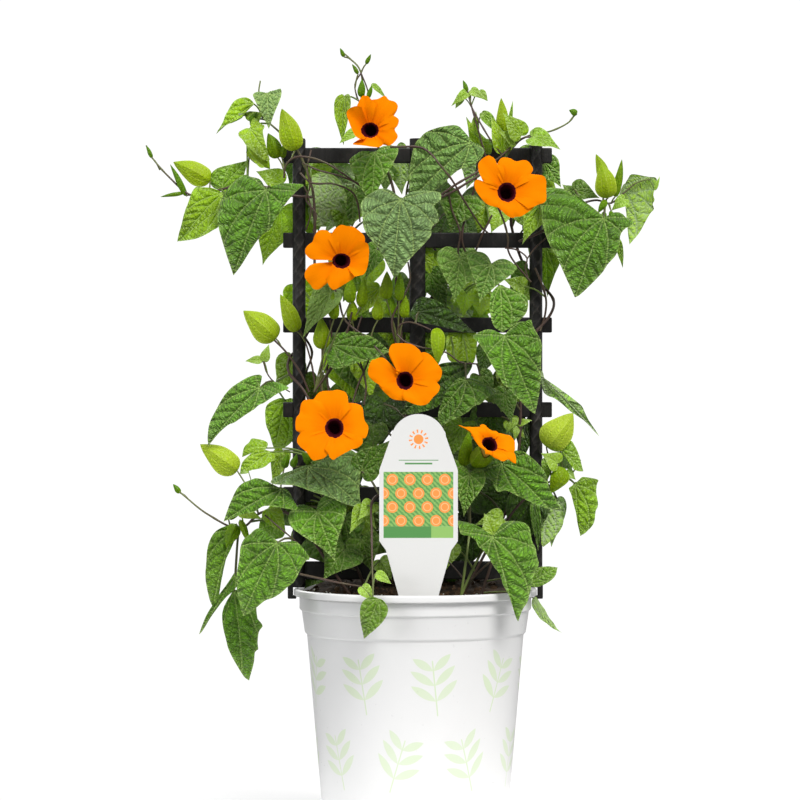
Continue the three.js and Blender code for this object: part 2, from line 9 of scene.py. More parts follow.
import bpy
import numpy as np
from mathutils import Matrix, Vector


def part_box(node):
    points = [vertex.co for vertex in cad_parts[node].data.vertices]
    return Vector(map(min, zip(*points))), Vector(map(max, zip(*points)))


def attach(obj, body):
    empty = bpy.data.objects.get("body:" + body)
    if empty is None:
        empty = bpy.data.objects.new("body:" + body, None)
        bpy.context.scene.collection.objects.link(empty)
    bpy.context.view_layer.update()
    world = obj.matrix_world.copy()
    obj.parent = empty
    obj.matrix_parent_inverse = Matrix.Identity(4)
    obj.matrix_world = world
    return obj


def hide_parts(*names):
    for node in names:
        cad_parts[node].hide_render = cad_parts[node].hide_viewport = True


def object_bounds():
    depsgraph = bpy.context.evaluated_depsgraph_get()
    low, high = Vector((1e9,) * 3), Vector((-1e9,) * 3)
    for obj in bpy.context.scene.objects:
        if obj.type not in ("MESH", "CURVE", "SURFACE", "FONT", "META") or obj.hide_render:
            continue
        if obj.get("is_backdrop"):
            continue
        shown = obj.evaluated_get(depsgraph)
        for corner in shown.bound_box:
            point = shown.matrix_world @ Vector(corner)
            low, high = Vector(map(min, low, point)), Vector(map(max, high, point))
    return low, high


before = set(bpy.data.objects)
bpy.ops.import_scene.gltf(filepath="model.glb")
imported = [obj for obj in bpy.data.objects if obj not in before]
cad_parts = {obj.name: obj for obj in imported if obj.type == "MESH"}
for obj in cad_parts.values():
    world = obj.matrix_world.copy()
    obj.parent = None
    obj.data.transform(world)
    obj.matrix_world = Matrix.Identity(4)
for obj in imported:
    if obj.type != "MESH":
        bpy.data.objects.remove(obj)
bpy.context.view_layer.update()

bl_info = {
    "name": "Potted Vine",
    "version": (1, 0, 0),
    "blender": (4, 5, 0),
    "location": "View3D > Sidebar > Potted Vine",
    "description": "Builds a flowering climber with its trellis, label and pot around a packed frame",
    "category": "Add Mesh",
}

MM = 0.001


def corners():
    """The lowest and the highest corner of everything that is shown, as plain lists in metres."""
    return [list(corner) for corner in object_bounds()]


def node_box(node):
    """The lowest and the highest corner of a node of the frame, in millimetres."""
    low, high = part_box(node)
    return np.array(low) / MM, np.array(high) / MM


# ---------------------------------------------------------------- vectors and paths


def unit(vectors):
    return vectors / np.linalg.norm(vectors, axis=-1, keepdims=True)


def basis(along, towards):
    """Three rows: sideways, along, and the direction nearest to `towards` that is square to `along`."""
    y = unit(np.array(along, float))
    z = np.array(towards, float)
    z = unit(z - y * (z @ y))
    return np.array([np.cross(y, z), y, z])


def smooth_path(knots, count):
    """A Catmull-Rom curve through the knots, with `count` points spaced evenly along it.

    Between two knots the curve is the cubic whose slope at each knot is half the step between that
    knot's neighbours. Beyond an end, the next knot is the end's mirror image of the one before it.
    """
    knots = np.array(knots, float)
    extended = np.vstack([2 * knots[:1] - knots[1:2], knots, 2 * knots[-1:] - knots[-2:-1]])
    place = np.linspace(0, len(knots) - 1, 24 * len(knots))
    span = np.minimum(place.astype(int), len(knots) - 2)
    t = (place - span)[:, None]
    before, start, end, after = (extended[span + i] for i in range(4))
    slope_in, slope_out = (end - before) / 2, (after - start) / 2
    rise = end - start
    bend, turn = 3 * rise - 2 * slope_in - slope_out, slope_in + slope_out - 2 * rise
    fine = start + t * (slope_in + t * (bend + t * turn))
    run = np.concatenate([[0], np.cumsum(np.linalg.norm(np.diff(fine, axis=0), axis=1))])
    wanted = np.linspace(0, run[-1], count)
    return np.stack([np.interp(wanted, run, axis) for axis in fine.T], axis=1)


def path_length(path):
    return np.linalg.norm(np.diff(path, axis=0), axis=1).sum()


VIEW_STEP = 0.68  # mm to one step of the front view's grid, in the plane of the trellis
VIEW_CENTRE = (400, 400)  # the grid's middle, on the camera's axis
CAMERA_PLACE = (-10.4, -2000.0, 292.8)  # mm


def view_step(depth):
    """The size of a grid step at a depth y: it grows with the distance from the camera."""
    return VIEW_STEP * (1 + np.asarray(depth, float) / -CAMERA_PLACE[1])


def in_view(rows):
    """Points given as (grid steps to the right, grid steps down, depth y in mm), as points in mm."""
    across, down, depth = np.array(rows, float).T
    step = view_step(depth)
    x = CAMERA_PLACE[0] + step * (across - VIEW_CENTRE[0])
    z = CAMERA_PLACE[2] - step * (down - VIEW_CENTRE[1])
    return np.stack([x, depth, z], axis=1)


def on_plane(steps, depth, axes):
    """Offsets of the front view's grid, laid on a plane: how far they go along its first two axes, in mm.

    The plane's two directions are seen from the front as their x and z parts, so the offsets are the
    solution of a pair of equations.
    """
    seen = axes[:2][:, (0, 2)].T
    return np.linalg.solve(seen, view_step(depth) * np.array(steps, float).T).T


# ---------------------------------------------------------------- closed skins


def joined(*parts):
    """Arrays widened to their common shape and put side by side along a new last axis."""
    return np.stack(np.broadcast_arrays(*parts), -1)


def round_turn(sides):
    """This many even angles once round."""
    return np.linspace(0, 2 * np.pi, sides, endpoint=False)


class Skin(NamedTuple):
    """A closed skin: points in mm, triangles, the UV of each triangle's corners, and marks on the points."""

    points: np.ndarray
    triangles: np.ndarray
    uv: np.ndarray
    marks: dict


def outward(points, triangles, uv, marks):
    """The skin with its triangles facing out: they are turned over if they enclose a negative volume."""
    a, b, c = (points[triangles[:, i]] for i in range(3))
    if np.einsum("ij,ij->i", a, np.cross(b, c)).sum() < 0:
        triangles, uv = triangles[:, ::-1], uv[:, ::-1]
    return Skin(points, triangles, uv, marks)


def cell_corners(grid):
    """The four corners of every cell of a grid, in order round the cell."""
    return grid[:-1, :-1], grid[:-1, 1:], grid[1:, 1:], grid[1:, :-1]


def from_grid(index, uv):
    """Triangles and corner UVs over a grid of point numbers. `uv` matches the grid."""
    corner, corner_uv = np.stack(cell_corners(index), -1), np.stack(cell_corners(uv), -2)
    halves = ((0, 1, 2), (0, 2, 3))
    triangles = np.concatenate([corner[..., half].reshape(-1, 3) for half in halves])
    return triangles, np.concatenate([corner_uv[..., half, :].reshape(-1, 3, 2) for half in halves])


def used_only(points, triangles, uv, marks):
    """The skin without triangles that have shrunk to a line, and without points that no triangle uses."""
    whole = (triangles != np.roll(triangles, 1, axis=1)).all(axis=1)
    triangles, uv = triangles[whole], uv[whole]
    used, renumbered = np.unique(triangles, return_inverse=True)
    marks = {name: values[used] for name, values in marks.items()}
    return outward(points[used], renumbered.reshape(-1, 3), uv, marks)


def on_points(marks, shape, sheets=1):
    """Marks that match a grid of points, as plain rows with one value to a point of each sheet."""
    rows = {}
    for name, values in marks.items():
        rows[name] = np.tile(np.broadcast_to(values, shape).reshape(-1), sheets)
    return rows


def globe(rings, uv=None, **marks):
    """A closed skin over rings of points. Each ring closes on itself; the first and last are one point."""
    rows, cols = rings.shape[:2]
    if uv is None:
        uv = joined(np.linspace(0, 1, cols + 1), np.linspace(0, 1, rows)[:, None])
    elif uv.shape[1] == cols:
        uv = np.concatenate([uv, uv[:, :1]], axis=1)
    index = np.arange(rows * cols).reshape(rows, cols)
    index[0], index[-1] = index[0, 0], index[-1, 0]
    index = np.concatenate([index, index[:, :1]], axis=1)
    return used_only(rings.reshape(-1, 3), *from_grid(index, uv), on_points(marks, (rows, cols)))


def slab(top, bottom, uv, **marks):
    """A closed sheet between two matching grids of points, walled along its four edges."""
    rows, cols = top.shape[:2]
    upper = np.arange(rows * cols).reshape(rows, cols)
    lower = upper + rows * cols
    around = np.concatenate([upper[0], upper[1:, -1], upper[-1, -2::-1], upper[-2:0:-1, 0], upper[:1, 0]])
    wall_uv = uv.reshape(-1, 2)[around]
    faces = [
        from_grid(upper, uv),
        from_grid(lower[:, ::-1], uv[:, ::-1]),
        from_grid(np.stack([around + rows * cols, around]), np.stack([wall_uv, wall_uv])),
    ]
    points = np.concatenate([top.reshape(-1, 3), bottom.reshape(-1, 3)])
    return outward(points, *(np.concatenate(part) for part in zip(*faces)), on_points(marks, (rows, cols), 2))


def tube(path, radius, sides=10, **marks):
    """A round tube along a path: rings square to the path, closed by a point at each end.

    Ring i is centre i plus radius i times the circle spanned by two directions square to the path.
    """
    path = np.array(path, float)
    radius = np.broadcast_to(radius, len(path))
    heading = unit(np.gradient(path, axis=0))
    guides = np.eye(3)
    guide = guides[np.argmin(np.abs(heading @ guides.T).max(axis=0))]
    side = unit(np.cross(heading, guide))
    other = np.cross(heading, side)
    turn = round_turn(sides)[None, :, None]
    circle = np.cos(turn) * side[:, None] + np.sin(turn) * other[:, None]
    rings = padded(path)[:, None] + np.pad(radius, 1)[:, None, None] * padded(circle)
    run = np.concatenate([[0], np.cumsum(np.linalg.norm(np.diff(path, axis=0), axis=1))])
    uv = joined(np.linspace(0, 1, sides + 1), padded(run)[:, None] * MM)
    grown = {name: padded(np.broadcast_to(values, len(path)))[:, None] for name, values in marks.items()}
    return globe(rings, uv, **grown)


def padded(rows):
    """The rows with the first and the last one repeated."""
    return np.concatenate([rows[:1], rows, rows[-1:]])


def lathe(profile, sides, **marks):
    """A turned skin: a profile of (radius, height) that starts and ends on the axis, carried round +Z.

    The point at turn a of a profile point (r, z) is (r cos a, r sin a, z).
    """
    radius, height = np.array(profile, float).T[..., None]
    turn = round_turn(sides)
    rings = joined(radius * np.cos(turn), radius * np.sin(turn), height)
    return globe(rings, joined(np.linspace(0, 1, sides + 1), height * MM), **marks)


def rounded(profile, radius, steps=4):
    """A profile whose inner corners are rounded: each is replaced by a quadratic arc of about that radius."""
    profile = np.array(profile, float)
    before, corner, after = profile[:-2], profile[1:-1], profile[2:]
    cut = np.minimum(radius, 0.45 * np.linalg.norm(before - corner, axis=1))
    cut = np.minimum(cut, 0.45 * np.linalg.norm(after - corner, axis=1))[:, None]
    start, end = corner + cut * unit(before - corner), corner + cut * unit(after - corner)
    t = np.linspace(0, 1, steps)[:, None]
    arcs = (1 - t) ** 2 * start[:, None] + 2 * t * (1 - t) * corner[:, None] + t**2 * end[:, None]
    return np.concatenate([profile[:1], arcs.reshape(-1, 2), profile[-1:]])


# ---------------------------------------------------------------- pieces


def merged(skins):
    """Several skins as one, with their point numbers shifted and every mark filled in."""
    starts = np.cumsum([0] + [len(skin.points) for skin in skins[:-1]])
    names = {name for skin in skins for name in skin.marks}
    return Skin(
        np.concatenate([skin.points for skin in skins]),
        np.concatenate([skin.triangles + start for skin, start in zip(skins, starts)]),
        np.concatenate([skin.uv for skin in skins]),
        {
            name: np.concatenate([skin.marks.get(name, np.zeros(len(skin.points))) for skin in skins])
            for name in names
        },
    )


def mesh_of(name, skins, crease):
    """A mesh in metres of closed skins. Edges that turn by more than `crease` degrees stay sharp."""
    skin = merged(skins)
    mesh = bpy.data.meshes.new(name)
    mesh.vertices.add(len(skin.points))
    mesh.vertices.foreach_set("co", (skin.points * MM).astype(np.float32).ravel())
    mesh.loops.add(skin.triangles.size)
    mesh.loops.foreach_set("vertex_index", skin.triangles.astype(np.int32).ravel())
    mesh.polygons.add(len(skin.triangles))
    mesh.polygons.foreach_set("loop_start", np.arange(0, skin.triangles.size, 3, dtype=np.int32))
    mesh.update(calc_edges=True)
    mesh.uv_layers.new(name="surface").data.foreach_set("uv", skin.uv.astype(np.float32).ravel())
    for mark, values in sorted(skin.marks.items()):
        mesh.attributes.new(mark, "FLOAT", "POINT").data.foreach_set("value", values.astype(np.float32))
    mesh.polygons.foreach_set("use_smooth", np.ones(len(mesh.polygons), bool))
    mesh.set_sharp_from_angle(angle=np.radians(crease))
    mesh.validate()
    return mesh


def add_piece(name, skins, finish, slot, nodes=(), crease=50):
    """One named piece on the body, with its finish, standing for the nodes of the frame that it replaces."""
    piece = bpy.data.objects.new(name, mesh_of(name, skins, crease))
    bpy.context.scene.collection.objects.link(piece)
    piece.data.materials.append(finish)
    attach(piece, "root")
    if nodes:
        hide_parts(*nodes)
    return piece


# ---------------------------------------------------------------- finishes


NODE_MATH = {
    np.add: "ADD",
    np.subtract: "SUBTRACT",
    np.multiply: "MULTIPLY",
    np.divide: "DIVIDE",
    np.power: "POWER",
    np.minimum: "MINIMUM",
    np.maximum: "MAXIMUM",
    np.absolute: "ABSOLUTE",
    np.sqrt: "SQRT",
    np.exp: "EXPONENT",
    np.sin: "SINE",
    np.cos: "COSINE",
    np.arctan2: "ARCTAN2",
    np.remainder: "FLOORED_MODULO",
    np.floor: "FLOOR",
    np.less: "LESS_THAN",
    np.greater: "GREATER_THAN",
}


class Field(np.lib.mixins.NDArrayOperatorsMixin):
    """A number that a finish works out at every point.

    numpy's arithmetic on it adds Math nodes, so that one formula serves the points of a mesh and
    the finish that is drawn on it.
    """

    def __init__(self, tree, socket):
        self.tree = tree
        self.socket = socket

    def __array_ufunc__(self, ufunc, _method, *operands):
        node = self.tree.nodes.new("ShaderNodeMath")
        node.operation = NODE_MATH[ufunc]
        for socket, operand in zip(node.inputs, operands):
            plug(self.tree, operand, socket)
        return Field(self.tree, node.outputs[0])


def plug(tree, value, socket):
    """Links a field or a socket to an input, or sets the input to a plain number or colour."""
    if isinstance(value, Field):
        tree.links.new(value.socket, socket)
    elif isinstance(value, bpy.types.NodeSocket):
        tree.links.new(value, socket)
    elif hasattr(value, "__len__"):
        socket.default_value = (*value, 1.0) if socket.type == "RGBA" else value
    else:
        socket.default_value = float(value)


def clamp(value, low=0.0, high=1.0):
    return np.minimum(np.maximum(value, low), high)


def ramp(value, low, high):
    """0 below `low`, 1 above `high`, and an even slope between, also with high under low."""
    return clamp((value - low) / (high - low))


class Finish:
    """A material in the making: a Principled shader and short names for the nodes that feed it."""

    def __init__(self, name, roughness, specular=0.5, **constants):
        self.material = bpy.data.materials.new(name)
        self.material.use_nodes = True
        self.tree = self.material.node_tree
        self.tree.nodes.clear()
        self.output = self.node("ShaderNodeOutputMaterial")
        self.shader = self.node("ShaderNodeBsdfPrincipled")
        self.tree.links.new(self.shader.outputs[0], self.output.inputs[0])
        self.set("Roughness", roughness)
        self.set("Specular IOR Level", specular)
        for socket, value in constants.items():
            self.set(socket.replace("_", " ").title(), value)

    def node(self, kind, **settings):
        node = self.tree.nodes.new(kind)
        for name, value in settings.items():
            setattr(node, name, value)
        return node

    def feed(self, kind, inputs, output=0, **settings):
        """One output of a new node with these inputs, which go by name or number."""
        node = self.node(kind, **settings)
        for name, value in inputs.items():
            plug(self.tree, value, node.inputs[name])
        return node.outputs[output]

    def set(self, socket, value):
        plug(self.tree, value, self.shader.inputs[socket])

    def split(self, vector):
        """The three parts of a vector, as fields."""
        node = self.node("ShaderNodeSeparateXYZ")
        plug(self.tree, vector, node.inputs[0])
        return [Field(self.tree, socket) for socket in node.outputs]

    def uv(self):
        """The piece's own UV map as two fields."""
        return self.split(self.feed("ShaderNodeUVMap", {}, uv_map="surface"))[:2]

    def place(self):
        """Object coordinates, in metres."""
        return self.feed("ShaderNodeTexCoord", {}, "Object")

    def mark(self, name):
        """A float attribute of the piece."""
        return Field(self.tree, self.feed("ShaderNodeAttribute", {}, "Fac", attribute_name=name))

    def vector(self, x, y, z=0.0):
        return self.feed("ShaderNodeCombineXYZ", {0: x, 1: y, 2: z})

    def noise(self, place, scale, detail=2.0, rough=0.5):
        inputs = {"Vector": place, "Scale": scale, "Detail": detail, "Roughness": rough}
        return Field(self.tree, self.feed("ShaderNodeTexNoise", inputs))

    def cells(self, place, scale, feature="DISTANCE_TO_EDGE"):
        inputs = {"Vector": place, "Scale": scale}
        return Field(self.tree, self.feed("ShaderNodeTexVoronoi", inputs, feature=feature))

    def mix(self, share, a, b):
        """Colour a, with this share of colour b."""
        return self.feed("ShaderNodeMix", {0: share, 6: a, 7: b}, 2, data_type="RGBA")

    def brighter(self, colour, value):
        """The colour with its brightness multiplied by a field."""
        return self.feed("ShaderNodeHueSaturation", {"Value": value, "Color": colour})

    def bump(self, height, depth):
        """Relief from a height of 0 to 1 that stands for `depth` millimetres."""
        normal = self.feed("ShaderNodeBump", {"Distance": depth * MM, "Height": height})
        self.set("Normal", normal)
        return normal

    def see_through(self, share, colour, normal):
        """Mixes in a share of translucent shader, for light that falls on the other side."""
        glow = self.feed("ShaderNodeBsdfTranslucent", {"Color": colour, "Normal": normal})
        blend = self.feed("ShaderNodeMixShader", {0: share, 1: self.shader.outputs[0], 2: glow})
        plug(self.tree, blend, self.output.inputs[0])


# ---------------------------------------------------------------- veins of a blade


PRIMARY_VEINS = ((0.0, 0.0), (36.0, 0.7), (70.0, 0.4), (116.0, 0.1))  # angle off the midrib, inward bend
PRIMARY_THINNER = 0.004  # how much thinner the fan is than the midrib's root; lengths are in blade lengths
SIDE_THINNER = 0.01
SIDE_PITCH = 0.15  # from one side vein to the next along the vein that they leave
SIDE_SLANT = 0.6
SIDE_SPACING = 0.75 * SIDE_PITCH  # the same, measured square to the side veins
INNER_BEND, OUTER_BEND = 1.8, 0.2
SIDE_START = 0.3  # where the midrib's side veins begin
OUTER_START = 0.12
PAST_END = 0.8  # how fast a side vein fades beyond the vein that it meets


def side_veins(along, off, bend):
    """How far a point is from the side veins of a vein, given its place along that vein and off it.

    Side veins leave at even steps and curve towards the tip: along - slant*off - bend*off^2 is a step.
    """
    step = (along - SIDE_SLANT * off - bend * off * off) / SIDE_PITCH
    return np.absolute(np.remainder(step + 0.5, 1) - 0.5) * SIDE_SPACING


def vein_gap(x, y):
    """How far a point of a blade lies from its nearest main vein, in blade lengths.

    Veins fan out from the stalk's end: vein i is the curve where the angle off the midrib is
    angle_i * (1 - bend_i * reach). Side veins leave the midrib, not quite opposite each other, as far
    as the first fan vein, and others leave that vein towards the margin.
    """
    across = np.absolute(x)
    reach = np.sqrt(x * x + y * y)
    turn = np.arctan2(across, y)
    gap = reach
    for angle, bend in PRIMARY_VEINS:
        target = np.radians(angle) * (1 - bend * reach)
        gap = np.minimum(gap, np.absolute(turn - target) * reach + PRIMARY_THINNER)
    fan_angle, fan_bend = np.radians(PRIMARY_VEINS[1][0]), PRIMARY_VEINS[1][1]
    past_fan = turn - fan_angle * (1 - fan_bend * reach)
    start = SIDE_START - 0.3 * SIDE_PITCH * np.less(x, 0)
    before = start - 0.4 * SIDE_PITCH - (y - SIDE_SLANT * across)
    inner = side_veins(y - start, across, INNER_BEND) + PAST_END * np.maximum(past_fan, 0)
    inner = inner + 0.6 * np.maximum(before, 0)
    outer = side_veins(reach - OUTER_START, past_fan * reach, OUTER_BEND)
    outer = outer + PAST_END * np.maximum(0 - past_fan, 0)
    return np.minimum(gap, np.minimum(inner, outer) + SIDE_THINNER)


def ladder(x, y):
    """0 to 1 across the small rungs between the main veins: a wave of the distance from the stalk's end."""
    reach = np.sqrt(x * x + y * y)
    turn = np.arctan2(np.absolute(x), y)
    return 0.5 + 0.5 * np.sin(reach * 62 + np.sin(turn * 7) * 1.6)


# ---------------------------------------------------------------- stems


STEM_RADIUS = 0.95
TIP_RADIUS = 0.5
STEM_STEP = 2.0  # between two rings of a stem
JOINT_STEP = 31.0  # from one swollen joint of a stem to the next
TAPER_LENGTH = 90.0
STALK_BOW = 2.5  # how high a stalk arches at most
STALK_STEP = 2.5  # between two rings of a stalk
STALK_DROP = (0, 0, 9)  # how far below what it holds a stalk starts
SHOOT_YOUTH = 0.15  # how green a shoot is, from 0, brown, to 1
PALE_RADIUS = 0.95  # shoots thicker than this are the pale ones at the lower right
PALE_YOUTH = 0.8

STEMS = {
    "vine_left": [
        (-28, -6, 150), (-40, -10, 180), (-58, -12, 215), (-67, -11, 250), (-68, -11, 282), (-76, -11, 300),
        (-85.5, -5, 311), (-86, 6, 321), (-78, 11, 331), (-67, 9, 352), (-65, -2, 365), (-68, -11, 378),
        (-68, -11, 410), (-70, -11, 437), (-80, -13, 462), (-92, -12, 474), (-104, -10, 486),
        (-106, -9, 500), (-105, -8, 509),
    ],
    "vine_left_outer": [
        (-70, -11, 430), (-84, -15, 431), (-100, -17, 436), (-118, -16, 438), (-134, -14, 434),
        (-151, -13, 431), (-167, -12, 444), (-179, -11, 458), (-182, -11, 465),
    ],
    "vine_centre": [
        (4, -8, 150), (-10, -10, 190), (-12, -11, 240), (-6, -11, 290), (-10, -11, 340), (-14, -11, 390),
        (-14, -11, 430), (-22, -12, 455), (-28, -10, 472), (-34, -8, 492), (-37, -7, 515), (-44, -6, 524),
        (-50, -6, 529),
    ],
    "vine_right": [
        (26, -8, 150), (45, -10, 185), (62, -11, 220), (70, -11, 260), (71, -11, 300), (70, -11, 322),
        (79, -12, 336), (91, -9, 350), (94, 2, 361), (86, 10, 372), (74, 10, 386), (67, 9, 406),
        (65, 0, 418), (67, -11, 430), (60, -12, 452), (68, -12, 466), (78, -10, 472), (92, -8, 475),
        (104, -8, 481), (109, -8, 488),
    ],
    "vine_right_outer": [
        (70, -11, 400), (80, -14, 404), (95, -15, 412), (110, -12, 424), (122, -10, 428), (132, -8, 426),
        (140, -6, 432), (150, -5, 440), (160, -5, 443),
    ],
    "vine_lower_left": [
        (-36, -22, 150), (-55, -28, 178), (-72, -28, 203), (-88, -26, 218), (-104, -22, 217),
        (-119, -16, 206), (-140, -14, 215.5), (-155, -12, 227), (-163, -11, 234),
    ],
    "vine_lower_right": [
        (40, -26, 150), (52, -22, 185), (62, -20, 212), (78, -16, 230), (92, -11, 238), (104, -8, 241),
        (112, -6, 252),
    ],
    "vine_front": [
        (-11.5, -11, 222), (-22, -30, 229), (-29, -52, 225), (-29, -68, 206), (-28.5, -79, 184),
        (-28, -85, 172), (-28, -87, 162),
    ],
    "vine_back": [
        (6, 24, 150), (-10, 18, 200), (14, 14, 260), (-12, 14, 320), (18, 14, 380), (-6, 14, 430),
        (10, 12, 472),
    ],
}


def stem_path(knots):
    rough = smooth_path(knots, 60)
    return smooth_path(knots, max(4, int(path_length(rough) / STEM_STEP)))


STEM_PATHS = {name: stem_path(knots) for name, knots in STEMS.items()}
STEM_JOINTS = np.concatenate(list(STEM_PATHS.values()))


def stem_radius(count, thick=STEM_RADIUS, thin=TIP_RADIUS):
    """Tapers from the root to the tip, and swells a little at the joints."""
    run = np.arange(count) * STEM_STEP
    swell = 0.22 * np.exp(-(((run % JOINT_STEP) - JOINT_STEP / 2) ** 2) / 3.0)
    taper = np.minimum(1.0, (count - 1 - np.arange(count)) * STEM_STEP / TAPER_LENGTH)
    return (thin + (thick - thin) * taper) * (1.0 + swell)


SHOOTS = [  # thin shoots and tendrils: radius in mm, then points as seen from the front
    (0.6, (361, 73, -8), (355, 84, -8), (357, 97, -9), (362, 106, -9)),
    (0.6, (361, 73, -8), (367, 88, -8), (369, 100, -9), (366, 108, -9)),
    (0.7, (467, 90, -12), (472, 108, -13), (476, 122, -14), (486, 158, -14)),
    (0.7, (472, 108, -13), (482, 126, -16), (492, 142, -17), (505, 158, -15)),
    (0.8, (488, 166, -18), (500, 157, -18), (510, 148, -17), (523, 138, -15), (533, 137, -13)),
    (0.75, (390, 147, -34), (418, 147, -36), (430, 153, -37), (440, 165, -38), (452, 180, -36),
     (462, 197, -30), (480, 225, -24), (488, 233, -22)),
    (0.75, (284, 178, -16), (286, 165, -18), (296, 157, -20), (312, 158, -20), (328, 164, -20),
     (342, 173, -20), (362, 187, -18)),
    (0.7, (303, 163, -18), (318, 170, -20), (340, 176, -20), (362, 185, -18)),
    (0.7, (300, 173, -16), (312, 183, -18), (334, 184, -18), (352, 192, -18), (358, 205, -16),
     (360, 222, -14)),
    (0.6, (304, 186, -18), (308, 196, -18), (311, 212, -18), (306, 230, -16)),
    (0.65, (311, 150, -14), (307, 170, -18), (310, 186, -18), (306, 200, -18), (316, 214, -18),
     (313, 232, -16)),
    (0.95, (436, 200, -26), (452, 192, -28), (470, 181, -28), (490, 168, -24)),
    (0.9, (440, 196, -22), (455, 185, -24), (474, 174, -22), (492, 163, -18)),
    (0.75, (498, 207, -30), (504, 222, -24), (508, 238, -22), (508, 250, -20), (515, 263, -18),
     (531, 282, -16)),
    (0.6, (505, 248, -14), (517, 250, -15), (527, 258, -16), (525, 268, -16), (528, 277, -16)),
    (0.6, (527, 259, -16), (535, 248, -16), (546, 238, -14)),
    (0.85, (535, 268, -14), (541, 282, -14), (546, 299, -10), (545, 315, -10), (540, 331, -12)),
    (0.65, (397, 334, -20), (399, 326, -22), (408, 322, -24), (420, 325, -26), (431, 330, -26)),
    (0.65, (397, 334, -20), (404, 341, -22), (420, 347, -24), (445, 352, -24), (460, 362, -22),
     (477, 364, -20)),
    (0.55, (264, 361, -18), (266, 371, -18), (274, 382, -16), (290, 392, -14)),
    (0.6, (265, 515, -34), (280, 528, -38), (298, 543, -38)),
    (0.8, (300, 574, -58), (318, 578, -62), (340, 583, -64), (364, 587, -60)),
    (1, (461, 596, -46), (464, 575, -46), (468, 545, -42), (470, 530, -34)),
    (1, (461, 596, -46), (470, 575, -44), (480, 555, -40), (488, 540, -30)),
    (0.8, (463, 590, -40), (476, 575, -38), (490, 562, -36), (505, 550, -28)),
    (0.7, (447, 560, -30), (458, 572, -34), (467, 584, -38)),
    (0.8, (314, 392, -12), (328, 372, -14), (345, 338, -18), (352, 312, -22)),
    (0.7, (314, 392, -12), (334, 366, -14), (352, 342, -16), (362, 316, -18)),
    (0.8, (402, 392, -14), (386, 360, -20), (366, 338, -20), (345, 320, -20), (338, 296, -20),
     (330, 282, -20)),
    (0.7, (411, 388, -14), (398, 350, -16), (392, 320, -18), (404, 296, -18), (410, 280, -16),
     (408, 262, -14)),
    (0.8, (309, 392, -12), (300, 372, -14), (286, 352, -16), (272, 338, -16)),
    (0.7, (316, 392, -12), (312, 366, -14), (306, 344, -16), (300, 330, -16)),
    (0.65, (322, 394, -12), (320, 376, -13), (323, 356, -14), (322, 346, -14)),
    (0.8, (330, 400, -12), (327, 372, -13), (332, 346, -14), (330, 320, -14)),
    (0.7, (352, 405, -12), (358, 385, -12), (368, 362, -12), (372, 345, -12)),
    (0.7, (364, 405, -10), (366, 385, -10), (360, 360, -10)),
    (0.85, (478, 160, -6), (474, 190, -4), (466, 214, -2), (462, 240, -2), (470, 262, 0), (478, 284, 2)),
    (0.8, (448, 190, -6), (452, 210, -6), (460, 232, -6), (458, 252, -6), (462, 268, -6)),
    (0.8, (492, 215, -8), (480, 240, -8), (474, 262, -8), (484, 282, -8)),
    (0.9, (300, 330, 8), (312, 352, 10), (306, 376, 10), (314, 400, 8)),
    (0.8, (352, 195, 6), (346, 220, 8), (352, 250, 8), (340, 275, 8)),
]
SHOOT_PATHS = [stem_path(in_view(knots)) for _, *knots in SHOOTS]
JOINTS = np.concatenate([STEM_JOINTS, *SHOOT_PATHS])


def stem_root(target):
    """The point on a stem or shoot nearest to where a stalk wants to start, below what it holds."""
    wanted = np.array(target, float) - STALK_DROP
    return JOINTS[np.argmin(np.linalg.norm(JOINTS - wanted, axis=1))]


def stalk_path(top, via=None, root=None):
    """From a stem up to `top` in an easy bow, or round by way of `via`."""
    root = stem_root(top if via is None else via) if root is None else np.array(root, float)
    top = np.array(top, float)
    bow = min(0.12 * np.linalg.norm(top - root), STALK_BOW)
    middle = (root + top) / 2 + (0, 0, bow) if via is None else np.array(via, float)
    rough = [root, middle, top]
    return smooth_path(rough, max(5, int(path_length(np.array(rough)) / STALK_STEP)))


# ---------------------------------------------------------------- leaf blades


HEART = [  # half a margin from the tip to the stalk's end, for a blade of length 1: (out, along)
    (0, 1), (0.045, 0.87), (0.12, 0.73), (0.22, 0.57), (0.34, 0.41), (0.45, 0.25), (0.52, 0.09),
    (0.515, -0.05), (0.45, -0.16), (0.34, -0.235), (0.22, -0.25), (0.11, -0.185), (0.04, -0.095),
    (0, -0.03),
]
OVAL = [
    (0, 1), (0.07, 0.87), (0.18, 0.68), (0.27, 0.48), (0.31, 0.3), (0.29, 0.14), (0.19, 0.03),
    (0.08, -0.02), (0, -0.01),
]
ARROW = [
    (0, 1), (0.045, 0.87), (0.12, 0.71), (0.21, 0.54), (0.31, 0.37), (0.41, 0.2), (0.53, 0.04),
    (0.6, -0.07), (0.5, -0.13), (0.37, -0.19), (0.25, -0.22), (0.13, -0.18), (0.045, -0.09), (0, -0.03),
]


class Leaf(NamedTuple):
    """A leaf: where its stalk meets the blade, its tip, its width, and how the blade is shaped.

    `young` goes from dark to lime green. `lobes` goes from 0, an oval, over 1, a heart, to 2, an
    arrowhead with pointed corners. The shading field is painted shade and painted light: it darkens
    leaves where the plant is in deep shade, lightens leaves that other parts shade, and above 0.1 also
    brings in a greyish painted sheen on older leaves. `face` is the way its upper side looks, the stalk
    goes round by `via`, and `fold` raises the halves off the midrib. `margin` is the outline as seen from
    the front, in grid steps right and up from the stalk's end, from the tip round. It stands in for `lobes`.
    """

    base: tuple
    tip: tuple
    width: float
    young: float = 0.0
    lobes: float = 1.0
    shade: float = 0.0
    face: tuple = (0, -1, 0.25)
    via: tuple = None
    fold: float = 0.2
    margin: tuple = None


